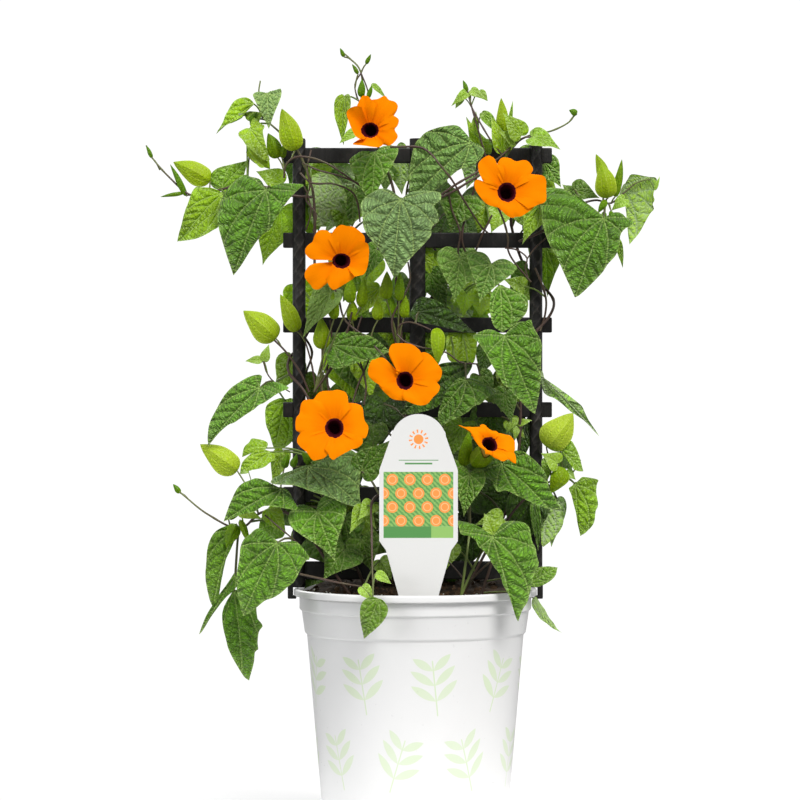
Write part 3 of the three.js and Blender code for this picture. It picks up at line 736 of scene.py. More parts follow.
LEAF_THICKNESS = 0.42
TRACED_WIDTH = 12  # for the stalks of the leaves in TRACED_LEAVES
FINE_WIDTH = 20  # larger leaves that are at least this wide have more points
FULL_SIZE = 52.0  # mm; the veins of a shorter leaf are drawn smaller
ARCH = 0.08  # this and the next ones are shares of the blade's length
CURL = 0.05
DROOP = 0.1
QUILT = 0.013  # how far the blade swells between its veins
RIPPLE = 0.014
TOOTH = 0.022


def traced_margin(leaf, axes, length, count):
    """The margin of a leaf whose shape is given as it is seen from the front, for a blade of length 1."""
    corners = on_plane(leaf.margin, leaf.base[1], axes) / length
    return smooth_path(np.vstack([corners, corners[:1]]), count + 1)[:-1]


def outline(lobes, count, rng):
    """The margin of a flat blade of length 1, as `count` points from the tip round by the sinus.

    Each half is a smooth path through the chosen points, mixed from the two nearest of the oval, the
    heart and the arrowhead, with small teeth: a saw of the distance round, stronger at the
    shoulders, that pushes the margin out.
    """
    half = count // 2 + 1
    shapes = [smooth_path(shape, half) for shape in (OVAL, HEART, ARROW)]
    low = min(int(lobes), 1)
    right = shapes[low] + (lobes - low) * (shapes[low + 1] - shapes[low])
    t = np.linspace(0, 1, half)
    sides = []
    for mirror in (1, -1):
        saw = (t * 9 + rng.random() + 0.35 * np.sin(t * 11 + 6 * rng.random())) % 1.0
        push = TOOTH * (0.3 + 0.7 * min(lobes, 1)) * (saw - 0.3) * np.exp(-(((t - 0.52) / 0.22) ** 2))
        sides.append(right * (1 + push)[:, None] * (mirror, 1))
    return np.concatenate([sides[0][:-1], sides[1][:0:-1]])


def blade_height(x, y, shares, around, leaf, rng):
    """How far each point of the blade stands off its flat plane, in blade lengths.

    The sum of the arch 4y(1-y), the fold's |x|, the tip's curl y^3, the lobes' droop behind the
    stalk, a ripple along the margin, a slight random tilt, a pillow between the veins,
    1 - exp(-(gap/0.035)^2), and the rungs of the ladder.
    """
    arch = ARCH * 4 * y * (1 - y)
    fold = leaf.fold * (np.sqrt(x**2 + 0.0009) - 0.03)
    curl = -CURL * np.maximum(y, 0) ** 3
    droop = -DROOP * np.maximum(-y, 0) ** 1.2
    ripple = RIPPLE * np.sin(around * 2 * np.pi * 7 + 6 * rng.random()) * shares**3
    lopsided = 0.05 * (rng.random() - 0.5) * x
    pillow = QUILT * (1 - np.exp(-((vein_gap(x, y) / 0.035) ** 2))) * (1 - shares**8)
    rungs = 0.22 * QUILT * ladder(x, y)
    return arch + fold + curl + droop + ripple + lopsided + pillow + rungs


def blade(leaf, seed, fine):
    """One leaf's blade: rings from the stalk's end out to the margin on top, and back beneath.

    A point is share * margin point, lifted by blade_height; the underside is the same surface moved
    back by the thickness, which thins to nothing at the margin.
    """
    rng = np.random.default_rng(seed)
    columns, rings = (88, 19) if fine else (44, 9)
    along = np.array(leaf.tip, float) - leaf.base
    length = np.linalg.norm(along)
    axes = basis(along, leaf.face)
    if leaf.margin:
        margin = traced_margin(leaf, axes, length, columns)
        sideways = 1.0
    else:
        margin = outline(leaf.lobes, columns, rng)
        sideways = leaf.width / (np.ptp(margin[:, 0]) * length)
    shares = np.linspace(0, 1, rings) ** 0.85
    shares = np.concatenate([shares, shares[-2::-1]])[:, None]
    x, y = shares * margin[:, 0], shares * margin[:, 1]
    around = np.linspace(0, 1, columns, endpoint=False)[None]
    height = blade_height(x, y, shares, around, leaf, rng)
    beneath = np.arange(len(shares))[:, None] >= rings
    skin = LEAF_THICKNESS / length * np.sqrt(np.maximum(1 - shares**6, 0)) / 2
    height = height + np.where(beneath, -skin, skin)
    points = np.array(leaf.base) + length * joined(x * sideways, y, height) @ axes
    return globe(
        points,
        joined(x, y),
        young=leaf.young,
        under=beneath,
        shade=leaf.shade + 0.16 * (rng.random() - 0.5),
        size=min(length / FULL_SIZE, 1.0),
        edge=shares**26,
        bare=0.0,
    )


def whole_leaf(leaf, seed, fine=False):
    """A blade with its stalk, which thickens a little where it meets the stem."""
    path = stalk_path(leaf.base, leaf.via)
    radius = np.linspace(0.85, 0.6, len(path)) * min(1.0, 0.4 + leaf.width / 30.0)
    return [blade(leaf, seed, fine), tube(path, radius, 8, bare=1.0, young=leaf.young, shade=leaf.shade)]


LEAVES = {
    "upper_left_large": Leaf(
        (-100, -34, 433.2), (-121, -42, 377.2), 57, shade=-0.1, face=(0.05, -1, 0.2), fold=-0.15, margin=(
            (-32, -85), (-23, -74), (-6, -49), (4, -41), (10, -30), (22, -10), (33, 3), (38, 8), (21, 9),
            (12, 7), (0, 2), (-4, 9), (-8, 13), (-16, 15), (-22, 17), (-34, 7), (-44, -8), (-46, -18),
            (-48, -27), (-47, -38), (-40, -62),
        ),
    ),
    "upper_left_folded": Leaf(
        (-130.2, -20, 431.5), (-158.2, -24, 400), 32, young=0.6, face=(-0.1, -1, 0.2), via=(-127, -19, 431),
        fold=0.1, margin=(
            (-45, -47), (-29, -41), (-6, -24), (0, -19), (1, -6), (2, 0), (-8, 5), (-22, 6), (-27, 4),
            (-33, -10), (-41, -34),
        ),
    ),
    "left_bay_lime": Leaf((-92, 13, 423), (-105, 17, 385), 34, young=0.8, lobes=0.8, shade=0.3),
    "top_centre_small": Leaf(
        (-27, -24, 459.4), (-29, -30, 428.4), 31, shade=0.05, via=(-20, -20, 448), margin=(
            (-4, -51), (1, -41), (12, -23), (20, -9), (23, 0), (21, 6), (7, 6), (2, 2), (-7, -1), (-14, 0),
            (-25, -9), (-24, -19), (-18, -28), (-15, -36),
        ),
    ),
    "centre_large": Leaf((-10, -38, 426.5), (-15, -46, 374.5), 52, shade=0.2, face=(0, -1, 0.15), margin=(
        (-6, -79), (12, -58), (29, -41), (31, -30), (38, -24), (36, -13), (33, -8), (40, -2), (39, 7),
        (28, 9), (15, 9), (7, 6), (1, 2), (-10, 10), (-19, 11), (-29, 6), (-37, -1), (-40, -9), (-38, -20),
        (-37, -30), (-33, -38), (-25, -47), (-17, -59),
    )),
    "top_centre_large": Leaf((37, -18, 466), (-3, -24, 428), 52, shade=0.2, face=(0.1, -1, 0.2), margin=(
        (-58, -58), (-45, -54), (-32, -46), (-12, -29), (0, -25), (8, -19), (14, -9), (9, -1), (3, 1),
        (-6, 11), (-13, 17), (-23, 16), (-43, 9), (-50, 3), (-57, -7), (-61, -29), (-61, -45),
    )),
    "upper_right_large": Leaf(
        (126.6, -24, 415.1), (106.6, -34, 361.1), 62, shade=-0.05, face=(-0.1, -1, 0.15), fold=0.1,
        margin=(
            (-30, -79), (-24, -76), (-4, -59), (3, -49), (11, -40), (15, -30), (16, -20), (20, -13),
            (30, -5), (23, 0), (17, 6), (9, 6), (3, 1), (0, 2), (-14, 14), (-21, 18), (-28, 24), (-34, 30),
            (-56, 31), (-61, 23), (-63, 13), (-60, -12), (-54, -30), (-46, -44), (-38, -62),
        ),
    ),
    "far_right": Leaf(
        (141.1, -2, 437.5), (140.1, -6, 395.5), 27, young=0.7, shade=0.02, face=(0.2, 1, 0.1), margin=(
            (6, -58), (15, -45), (25, -26), (29, -21), (28, -16), (30, -12), (29, -6), (33, 8), (25, 10),
            (9, 12), (5, 5), (0, 2), (-2, -4), (1, -13), (5, -35), (4, -45),
        ),
    ),
    "right_behind_post": Leaf((89, 13, 398), (91, 17, 363), 24, young=0.5),
    "right_bay_upper": Leaf((30, -14, 388), (26, -18, 358), 31, young=0.1, shade=0.12, fold=0.35),
    "right_bay_second": Leaf((51, -20, 384), (43, -24, 358), 35, lobes=1.5, shade=0.12, fold=0.35),
    "right_bay_upturned": Leaf(
        (56.6, -28, 369.3), (58, -32, 338.8), 27, shade=0.08, face=(0.1, -1, 0.15), margin=(
            (3, -46), (13, -40), (24, -30), (27, -21), (25, -12), (17, -6), (7, -2), (0, 1), (-9, -8),
            (-11, -20), (-10, -31), (-6, -41),
        ),
    ),
    "middle_dark": Leaf((2, -18, 352), (42, -22, 338), 24, shade=-0.7, margin=(
        (57, -21), (37, -20), (22, -16), (7, -13), (-3, -9), (-9, -3), (-7, 4), (0, 14), (12, 13), (28, 4),
        (43, -9),
    )),
    "left_post_front": Leaf(
        (-57, -20, 365), (-76, -24, 335), 20, young=0.4, lobes=0.7, shade=0.3, face=(-0.2, -1, 0.2),
    ),
    "left_long": Leaf(
        (-104.5, -26, 300.9), (-139.5, -30, 262.6), 34, shade=0.1, face=(-0.15, -1, 0.2), fold=0.12,
        margin=(
            (-52, -57), (-32, -39), (-23, -35), (-6, -24), (0, -18), (6, -15), (20, -4), (28, 2), (16, 7),
            (8, 6), (1, 0), (-1, 10), (2, 11), (-1, 14), (-14, 9), (-30, -4), (-47, -31), (-52, -48),
        ),
    ),
    "left_lime_lower": Leaf((-89, 13, 292), (-96, 16, 259), 28, young=0.5, via=(-95, 5, 304), margin=(
        (-9, -51), (7, -40), (10, -22), (10, -2), (6, 3), (1, 2), (-6, 3), (-18, -4), (-19, -20),
        (-15, -34), (-12, -46),
    )),
    "centre_dark_large": Leaf((37, -18, 316), (-8, -26, 285), 38, shade=-0.5, face=(0, -1, 0.3), margin=(
        (-69, -47), (-52, -48), (-33, -43), (-19, -31), (-8, -18), (-1, -7), (2, 2), (-6, 4), (-30, -1),
        (-48, -14), (-62, -32),
    )),
    "centre_right_toothed": Leaf(
        (33.8, -32, 306.2), (11.8, -38, 278.2), 36, shade=-0.25, face=(0, -1, 0.3), margin=(
            (-25, -46), (0, -35), (8, -28), (14, -26), (22, -19), (28, -15), (26, -8), (8, 2), (1, 2),
            (-6, 2), (-14, -5), (-22, -18), (-28, -35),
        ),
    ),
    "right_large": Leaf(
        (58.8, -42, 335.4), (78.8, -52, 285.4), 46, face=(0.1, -1, 0.15), via=(65, -27, 316), margin=(
            (31, -77), (35, -54), (36, -24), (36, -9), (29, 8), (27, 16), (21, 14), (15, 14), (8, 10),
            (1, 2), (-9, 6), (-17, 7), (-31, 0), (-26, -8), (-17, -24), (-7, -42), (-2, -51), (4, -55),
            (24, -73),
        ),
    ),
    "right_trailing": Leaf((84.8, -14, 309), (125, -9, 268.4), 22, young=0.2, face=(0.1, 1, 0.2), margin=(
        (59, -60), (45, -47), (29, -36), (14, -24), (7, -21), (2, -16), (-1, 0), (1, 6), (5, -7), (14, -19),
        (19, -24), (37, -29), (41, -32), (47, -43),
    )),
    "lower_right_mid": Leaf((57, -32, 250), (95, -38, 214), 40, face=(0.1, -0.9, 0.4), margin=(
        (59, -45), (54, -36), (47, -26), (44, -16), (37, -4), (24, 8), (14, 12), (-9, 10), (-19, 7),
        (-33, 4), (-30, -3), (-26, -9), (-11, -17), (-6, -31), (4, -29), (27, -40), (49, -45),
    )),
    "lower_right_large": Leaf((50.3, -60, 202.4), (65.3, -73, 149.4), 50, face=(0.1, -1, 0.15), margin=(
        (26, -82), (30, -71), (35, -63), (41, -38), (45, -30), (43, -21), (42, -13), (39, -6), (35, 11),
        (18, 16), (11, 14), (2, 2), (-12, 11), (-20, 15), (-34, 18), (-33, 10), (-31, 2), (-24, 1),
        (-17, -3), (-14, -10), (-8, -16), (1, -31), (7, -38), (10, -48), (15, -57), (23, -77),
    )),
    "far_right_lower": Leaf(
        (108.1, -8, 236), (109.1, -12, 199), 24, young=0.4, face=(0.2, -1, 0.1), margin=(
            (5, -52), (11, -48), (17, -40), (19, -28), (21, -22), (20, -11), (21, -1), (22, 4), (8, 7),
            (4, 2), (0, 2), (-3, -2), (-7, -5), (-4, -14), (1, -36),
        ),
    ),
    "lower_left_upper": Leaf((-89.2, -36, 233.4), (-128.2, -44, 212.4), 34, face=(0, -1, 0.35), margin=(
        (-58, -31), (-37, -26), (-27, -24), (-17, -19), (-2, -20), (16, -22), (10, -8), (6, -1), (0, 2),
        (-7, 2), (-22, 8), (-30, 7), (-45, -3),
    )),
    "lower_left_dark": Leaf(
        (-72, -30, 247.3), (-35, -38, 220.3), 44, shade=0.22, face=(0.1, -0.75, 0.65), margin=(
            (54, -39), (29, -36), (4, -28), (-13, -22), (-36, -14), (-27, -5), (-11, 1), (-3, 3), (1, 2),
            (13, 3), (32, 13), (49, 4), (50, -11), (51, -27),
        ),
    ),
    "lower_left_large": Leaf((-92.1, -46, 197.8), (-115.1, -56, 148.8), 48, face=(0, -1, 0.15), margin=(
        (-33, -72), (-25, -68), (-12, -58), (-5, -56), (3, -52), (11, -45), (18, -39), (28, -20), (33, -16),
        (23, -2), (16, 2), (1, 2), (-15, 14), (-22, 13), (-27, 8), (-32, 4), (-36, -5), (-37, -15),
        (-40, -39), (-36, -63),
    )),
    "lower_left_far": Leaf(
        (-122, -16, 206), (-137, -20, 152), 22, young=0.1, face=(-0.2, -1, 0.1), fold=0.2, margin=(
            (-21, -80), (-16, -72), (-14, -60), (-7, -32), (2, -10), (3, -2), (1, 2), (-7, 3), (-21, -7),
            (-26, -30), (-27, -54), (-25, -69),
        ),
    ),
    "lower_left_hanging": Leaf(
        (-122.8, -8, 163), (-116.8, -10, 104), 34, lobes=0.5, shade=0.14, face=(0.2, -0.95, 0.1), margin=(
            (16, -89), (19, -71), (20, -60), (23, -58), (22, -50), (23, -40), (27, -34), (23, -30),
            (21, -22), (20, -12), (15, -5), (8, 0), (1, 2), (-3, -2), (-13, -22), (-9, -48), (-5, -60),
            (9, -83),
        ),
    ),
    "front_hanging": Leaf(
        (-24.7, -90, 163.6), (-33.8, -92, 137.8), 18, young=0.2, lobes=0, shade=-0.35, face=(0, -1, 0.1),
    ),
    "back_upper": Leaf((30, 30, 430), (24, 40, 380), 50, face=(0, 1, 0.2)),
    "back_left": Leaf((-40, 30, 330), (-46, 40, 280), 50, face=(0, 1, 0.2)),
    "back_right": Leaf((46, 32, 270), (40, 44, 218), 48, face=(0, 1, 0.2)),
    "back_lower": Leaf((-34, 52, 214), (-44, 66, 172), 44, face=(0, 1, 0.3)),
}


SMALL_LEAVES = {  # base, tip, width, youth, lobes, painted shading, and the way it looks if that isn't the front
    "leaves_upper_left": [
        ((-131, -8, 436), (-112, -10, 456), 24, 0.3, 0.6, 0),
        ((-90, -4, 440), (-108, -6, 448), 16, 0.7, 0.3, 0),
        ((-39, -14, 475), (-51.5, -16, 466), 7, 0.6, 0, 0),
        ((-48, -10, 498), (-49, -14, 465), 12, 0.7, 0.3, 0, (-0.3, -1, 0)),
        ((-42, 4, 440), (-62, 2, 405), 36, 0, 1, 0.1, (0.1, 1, 0.1)),
    ],
    "leaves_upper_right": [
        ((79, -16, 470), (98, -18, 462), 17, 0.4, 0.7, 0, (0.1, -0.8, 0.5)),
        ((71, -20, 471), (59, -22, 486), 15, 0.7, 0.5, 0), ((32, -10, 498), (27, -10, 490), 5, 0.6, 0, 0),
        ((43, -10, 502), (49, -10, 495), 6, 0.6, 0, 0), ((40, -10, 473), (41, -12, 488), 6, 0.8, 0, 0),
        ((45, -12, 487), (58, -14, 471), 8, 0.3, 0.1, 0), ((55, 4, 462), (44, 6, 472), 12, 0, 0.4, -0.3),
        ((88, 10, 455), (100, 10, 438), 18, 0, 0.7, 0),
        ((84, -14, 424), (72, -20, 398), 20, 0.5, 0.7, -0.1),
    ],
    "leaves_middle": [
        ((-26, -6, 395), (-34, -8, 374), 15, 0, 0.8, 0), ((-44, 4, 320), (-36, 6, 293), 27, 0, 1, 0),
        ((-84, 10, 319), (-96, 12, 304), 14, 0.4, 0.5, 0), ((76, 6, 380), (63, 8, 361), 20, 0, 1, -0.25),
        ((10, 6, 379), (22, 8, 354), 20, 0, 0.6, -0.25), ((10, 8, 393), (14, 10, 378), 12, 0.6, 0.4, 0),
        ((32, 10, 366), (45, 10, 352), 22, 0.6, 0.7, 0), ((24, 6, 337), (36, 8, 320), 20, 0.6, 0.7, 0),
        ((50, 4, 328), (44, 6, 308), 16, 0, 0.7, -0.6), ((62, -2, 297), (52, 2, 281), 18, 0, 0.7, -0.3),
    ],
    "leaves_lower_left": [
        ((-92, -6, 259), (-95, -8, 235), 8, 0.5, 0.1, 0), ((-66, -34, 218), (-53.5, -40, 185), 40, 0, 1, 0),
        ((-95, -12, 208), (-108, -16, 196), 20, 0.2, 0.7, 0),
        ((-48, -24, 192), (-62, -32, 172), 30, 0, 1, -0.3),
        ((-35, -44, 220), (-44, -50, 204), 12, 0.6, 0.7, 0),
        ((-35, -44, 220), (-26, -50, 207), 10, 0.6, 0.5, 0),
        ((-35, -84, 171), (-27, -86, 161), 9, 0.6, 0.4, 0),
        ((-26, -82, 180), (-16, -84, 173), 7, 0.6, 0.1, 0),
        ((-36, -30, 245), (-17, -34, 266), 22, 0, 0.5, -0.2),
    ],
    "leaves_lower_right": [
        ((36, -40, 243), (32, -44, 215), 22, 0, 0.8, 0), ((58, -34, 214), (40, -38, 210), 14, 0.6, 0.4, 0),
        ((96, -6, 226), (92, -8, 193), 15, 0, 0.3, 0, (0, 1, 0)),
        ((80.5, -14, 159), (98, -16, 135), 7.5, 0.5, 0.1, 0.2, (-0.4, 0.8, -0.4)),
        ((80, -14, 225), (83, -16, 191), 7, 0, 0, 0),
    ],
}
VIEW_LEAVES = [  # the same rows, with base and tip as seen from the front: (steps right, steps down, depth)
    ((264, 361, -18), (269, 344, -18), 7, 0.7, 0.2, 0), ((262, 360, -18), (245, 361, -18), 6, 0.6, 0.1, 0),
    ((468, 92, -12), (451, 106, -14), 7, 0.6, 0.4, 0), ((471, 90, -12), (483, 99, -13), 7, 0.6, 0.3, 0),
    ((372, 84, -9), (386, 98, -10), 4, 0.5, 0, 0), ((380, 288, -14), (358, 316, -16), 15, 0.8, 0.4, 0),
    ((503, 152, -14), (491, 116, -16), 11, 0.9, 0.2, 0.1), ((508, 150, -16), (515, 118, -16), 7, 0.7, 0, 0),
    ((516, 140, -16), (499, 132, -22), 12, 0.8, 0.4, 0), ((509, 128, -12), (513, 100, -12), 3, 0.6, 0, 0),
    ((480, 152, -4), (466, 116, -2), 9, 0.9, 0.3, 0.1), ((484, 152, -2), (476, 128, 0), 12, 0.7, 0.7, 0),
    ((617, 238, -8), (623, 268, -8), 5, 0.3, 0, 0), ((655, 190, -6), (660, 176, -6), 2.5, 0.6, 0, 0),
    ((575, 190, -4), (600, 198, -6), 16, 0.1, 0.8, -0.35),
    ((575, 196, 0), (562, 184, 4), 12, 0.1, 0.8, -0.3),
    ((326, 452, -14), (326, 492, -18), 24, 0, 0.9, -0.35),
    ((372, 504, -48), (358, 520, -54), 12, 0.6, 0.6, 0.1),
    ((445, 470, -20), (452, 520, -26), 26, 0, 0.8, 0), ((530, 500, -10), (512, 560, -8), 30, 0, 0.8, -0.6),
    ((480, 492, -6), (520, 518, -4), 30, 0, 0.8, -0.65),
    ((557, 463, -16), (541, 453, -18), 14, 0.8, 0.8, 0), ((567, 472, -12), (576, 480, -12), 7, 0.3, 0.6, 0),
    ((250, 121, -14), (264, 112, -14), 12, 0.8, 0.6, 0),
    ((384, 404, -6), (380, 450, -10), 30, 0, 0.8, -0.75),
    ((372, 426, -12), (360, 462, -16), 24, 0.1, 0.8, -0.5),
    ((470, 528, 4), (456, 582, 4), 34, 0, 0.9, -0.8), ((478, 496, 6), (470, 542, 8), 32, 0, 0.9, -0.85),
    ((524, 287, -8), (503, 279, -10), 12, 0.6, 0.5, 0), ((434, 252, 8), (431, 276, 8), 18, 0.9, 0.5, 0.3),
    ((466, 294, -2), (463, 317, 0), 14, 0.9, 0.7, 0.3), ((482, 300, -2), (480, 318, 0), 14, 0.9, 0.7, 0.3),
    ((500, 212, -2), (491, 233, -4), 16, 0.6, 0.7, 0), ((548, 460, -8), (547, 482, -10), 9, 0.4, 0.5, 0),
    ((625, 199, -8), (611, 211, -8), 9, 0.5, 0.5, 0), ((386, 173, 0), (385, 193, 2), 11, 0, 0.6, -0.3),
    ((354, 190, 4), (352, 228, 4), 20, 0, 0.4, -0.25), ((494, 535, -44), (484, 513, -42), 15, 0.75, 0.6, 0),
    ((530, 286, 2), (511, 306, 2), 18, 0.3, 0.7, 0), ((526, 420, 2), (522, 464, 2), 14, 0, 0.5, -0.7),
    ((535, 500, 2), (536, 552, 2), 12, 0.5, 0.2, -0.1), ((248, 470, -14), (241, 474, -16), 4, 0.4, 0, 0),
    ((283, 452, -6), (272, 486, -8), 13, 0.6, 0.5, 0), ((300, 502, 6), (304, 560, 8), 10, 0.7, 0.3, 0),
    ((268, 509, -24), (286, 534, -26), 14, 0.8, 0.2, 0),
    ((240, 511, -22), (262, 519, -28), 9, 0.9, 0.2, 0.1), ((420, 250, 4), (432, 276, 6), 16, 0.8, 0.5, 0.1),
    ((492, 298, 4), (470, 322, 6), 16, 0.85, 0.6, 0.05), ((365, 362, 2), (372, 400, 2), 22, 0.9, 0.8, 0.3),
    ((338, 358, 6), (356, 404, 8), 26, 0.9, 0.8, 0.3),
    ((293, 362, 10), (277, 394, 12), 22, 0.4, 0.8, -0.05),
    ((322, 190, 10), (318, 232, 14), 34, 0.1, 0.9, 0.1), ((340, 176, 10), (352, 224, 12), 24, 0.1, 0.9, 0),
    ((372, 262, 4), (364, 294, 6), 20, 0.9, 0.8, 0.3), ((352, 190, 8), (338, 240, 6), 42, 0.25, 1, 0.1),
    ((388, 214, 6), (402, 262, 8), 32, 0.3, 0.9, 0), ((312, 168, 10), (330, 200, 8), 26, 0.9, 0.8, 0.3),
    ((520, 158, 8), (548, 184, 8), 24, 0.2, 0.8, 0.1), ((462, 198, -4), (450, 232, -2), 30, 0, 0.8, -0.3),
    ((486, 206, 0), (478, 236, 2), 18, 0.6, 0.6, -0.15),
    ((508, 420, -4), (525, 438, -6), 12, 0.8, 0.3, 0.1), ((517, 418, -10), (506, 433, -12), 5, 0.7, 0, 0.1),
    ((517, 424, -10), (532, 420, -12), 5, 0.7, 0, 0.1), ((517, 426, -10), (515, 440, -12), 5, 0.7, 0, 0.1),
    ((462, 425, -6), (446, 462, -10), 24, 0.3, 0.9, -0.2),
    ((505, 396, -18), (512, 424, -20), 16, 0, 0.9, -0.3),
    ((480, 376, -14), (494, 404, -16), 16, 0, 0.8, -0.2),
    ((345, 520, -10), (352, 560, -12), 26, 0, 0.8, -0.35),
    ((320, 570, 4), (304, 589, 2), 16, 0, 0.6, -0.45), ((320, 540, -14), (342, 572, -22), 30, 0, 0.9, -0.3),
    ((362, 540, -14), (372, 572, -18), 24, 0.1, 0.8, -0.3),
    ((380, 560, -40), (392, 580, -44), 14, 0.4, 0.5, -0.1),
    ((515, 548, 4), (500, 572, 4), 18, 0.3, 0.7, -0.3),
    ((452, 545, -10), (446, 570, -12), 14, 0.5, 0.5, -0.15),
]


TRACED_LEAVES = [  # base, tip, youth, painted shading, whether the underside shows, and the margin as in LEAVES
    ((309, 206, -2), (347, 196, 0), 0.3, 0.15, True, (
        (38, 10), (36, -6), (30, -17), (16, -21), (4, -18), (-1, -6), (0, 0), (-1, 12), (2, 28), (16, 34),
        (30, 26),
    )),
    ((333, 345, -16), (390, 351, -20), 0, -0.25, False, (
        (57, -6), (42, -14), (23, -20), (5, -25), (-3, -22), (-6, -14), (-6, -5), (0, 0), (-4, 4), (5, 11),
        (23, 12), (42, 6),
    )),
    ((462, 331, 4), (464, 364, 4), 0.8, 0, False, (
        (2, -33), (9, -33), (13, -28), (15, -5), (10, 2), (0, 0), (-10, 2), (-15, -4), (-16, -16),
        (-14, -28), (-6, -33),
    )),
    ((530, 583, -32), (557, 567, -36), 0.1, -0.1, False, (
        (27, 16), (25, 7), (17, 0), (7, -4), (1, -3), (0, 0), (2, 8), (7, 15), (17, 17),
    )),
    ((267, 93, -22), (269, 129, -24), 0.15, 0.25, False, (
        (2, -36), (8, -20), (14, -5), (14, 4), (9, 3), (3, 2), (0, -1), (-5, 1), (-10, 1), (-14, -2),
        (-12, -8), (-5, -22),
    )),
    ((254, 104, -14), (216, 134, -16), 0.7, 0, False, (
        (-38, -30), (-31, -24), (-12, -14), (-8, -8), (0, 0), (-7, 6), (-18, 3), (-27, -10), (-31, -19),
    )),
    ((242, 114, -18), (217, 131, -18), 0.6, 0.1, True, (
        (-25, -17), (-14, -10), (-10, -9), (0, -4), (1, 0), (-4, 1), (-10, -3),
    )),
    ((250, 129, -20), (270, 160, -22), 0.8, -0.1, False, (
        (20, -31), (17, -21), (13, -4), (15, 2), (11, 5), (4, 12), (1, 8), (0, 1), (-4, 1), (-11, -3),
        (-11, -8), (-7, -12), (-3, -18), (9, -28), (15, -32),
    )),
    ((247, 147, -16), (269, 163, -18), 1, 0.15, False, (
        (22, -15), (19, -20), (13, -21), (4, -11), (1, -3), (-1, 1), (1, 1), (10, -7),
    )),
    ((219, 210, -25), (178, 241, -30), 0.55, 0.1, False, (
        (-41, -31), (-29, -31), (-16, -28), (-6, -22), (0, -18), (-1, -8), (1, 0), (-16, -12),
    )),
    ((270, 452, -12), (240, 474, -15), 0.7, 0, False, (
        (-30, -22), (-20, -19), (-6, -16), (0, -11), (5, -8), (4, -1), (-6, 2), (-14, 1), (-27, -10),
    )),
    ((266, 448, -8), (242, 457, -9), 0.7, 0, False, (
        (-24, -9), (-17, -3), (-4, -2), (0, -1), (1, 6), (-13, 9), (-17, 5), (-22, 0),
    )),
    ((236, 576, -14), (199, 634, -18), 0, -0.05, False, (
        (-37, -58), (-33, -54), (-21, -36), (-9, -21), (-3, -16), (2, -9), (2, 0), (-1, 4), (-6, -4),
        (-17, -20), (-30, -41),
    )),
    ((560, 449, -10), (583, 471, -14), 0.4, 0, False, (
        (23, -22), (17, -22), (12, -19), (12, -12), (9, -8), (0, -2), (-2, 1), (10, 8), (15, 2), (19, -7),
    )),
    ((557, 453, -8), (572, 468, -10), 0.3, 0, True, (
        (15, -16), (2, -14), (-1, 0), (8, 0), (16, -6), (15, -11),
    )),
    ((549, 497, -10), (543, 547, -12), 0.3, 0, True, (
        (-6, -50), (7, -39), (15, -25), (12, -9), (3, 2), (-6, -4), (-8, -14), (-8, -34), (-8, -46),
    )),
]


def traced_leaves():
    """The smaller leaves that have a margin of their own."""
    leaves = []
    for base, tip, young, shade, below, margin in TRACED_LEAVES:
        face = (0, 1 if below else -1, 0.15)
        leaves.append(Leaf(*in_view([base, tip]), TRACED_WIDTH, young, shade=shade, face=face, margin=margin))
    return leaves


SPREAD_LEAVES = 104  # the smaller leaves that fill the plant out behind, from top to bottom
SPREAD_WIDTHS = (16, 34)
SPREAD_HEIGHTS = (178, 470)
SPREAD_REACH = 84  # how far to the side of the pot's axis they may start
SPREAD_SPLIT = 320  # those that start higher go into the upper group
BACKWARD = 24  # those that start farther back than this look backwards
OPEN_GAPS = [  # where the background shows between the stems: (steps right, steps down, radius)
    (285, 262, 12), (506, 262, 14), (522, 262, 10), (278, 364, 12), (311, 362, 8), (288, 345, 10),
    (551, 300, 10), (550, 340, 8), (375, 272, 8),
]
SHADED_BELOW = 330.0  # leaves behind that hang lower than this are darkened with painted shade


def covers_gap(base, tip, width):
    """Whether a leaf hides one of the open gaps from the front, by the distance from its midrib."""
    points = base + np.linspace(0, 1, 7)[:, None] * (tip - base)
    step = view_step(points[:, 1])
    across = VIEW_CENTRE[0] + (points[:, 0] - CAMERA_PLACE[0]) / step
    down = VIEW_CENTRE[1] - (points[:, 2] - CAMERA_PLACE[2]) / step
    gaps = np.array(OPEN_GAPS, float)
    apart = np.hypot(across[:, None] - gaps[:, 0], down[:, None] - gaps[:, 1]) - gaps[:, 2]
    return (apart < 0.35 * width / VIEW_STEP).any()


def spread_leaves(rng):
    """Leaves scattered round the stems behind the trellis, hanging from a place near a stem joint.

    Each takes a random joint of a stem and moves up to 26 mm sideways and 6 to 44 mm back. It is
    drawn again if that puts it too high, too low or too far out, or over an open gap. It hangs down
    and outwards. Those farther back look backwards, the others forwards.
    """
    leaves = []
    while len(leaves) < SPREAD_LEAVES:
        joint = STEM_JOINTS[rng.integers(len(STEM_JOINTS))]
        base = joint + (rng.uniform(-26, 26), rng.uniform(6, 44), rng.uniform(-8, 14))
        width = rng.uniform(*SPREAD_WIDTHS)
        in_height = SPREAD_HEIGHTS[0] < base[2] < SPREAD_HEIGHTS[1]
        if not (in_height and abs(base[0]) < SPREAD_REACH and base[1] > 3):
            continue
        hang = np.array((rng.normal(0, 0.55) + base[0] / 160, rng.uniform(0.05, 0.35), -1.0))
        tip = base + unit(hang) * width * rng.uniform(0.95, 1.2)
        if covers_gap(base, tip, width):
            continue
        face = (rng.normal(0, 0.35), 1 if base[1] > BACKWARD else -1, rng.uniform(0, 0.6))
        young = rng.choice((0.05, 0.4, 0.8), p=(0.4, 0.3, 0.3))
        fold = rng.uniform(0.05, 0.4)
        lobes = rng.uniform(0.5, 1)
        # Painted shade: the leaves behind that hang low are darkened, as the inside of the plant is in deep
        # shade
        shade = -0.45 if base[2] < SHADED_BELOW else 0.0
        leaves.append(Leaf(base, tip, width, young, lobes, shade, face, fold=fold))
    return leaves


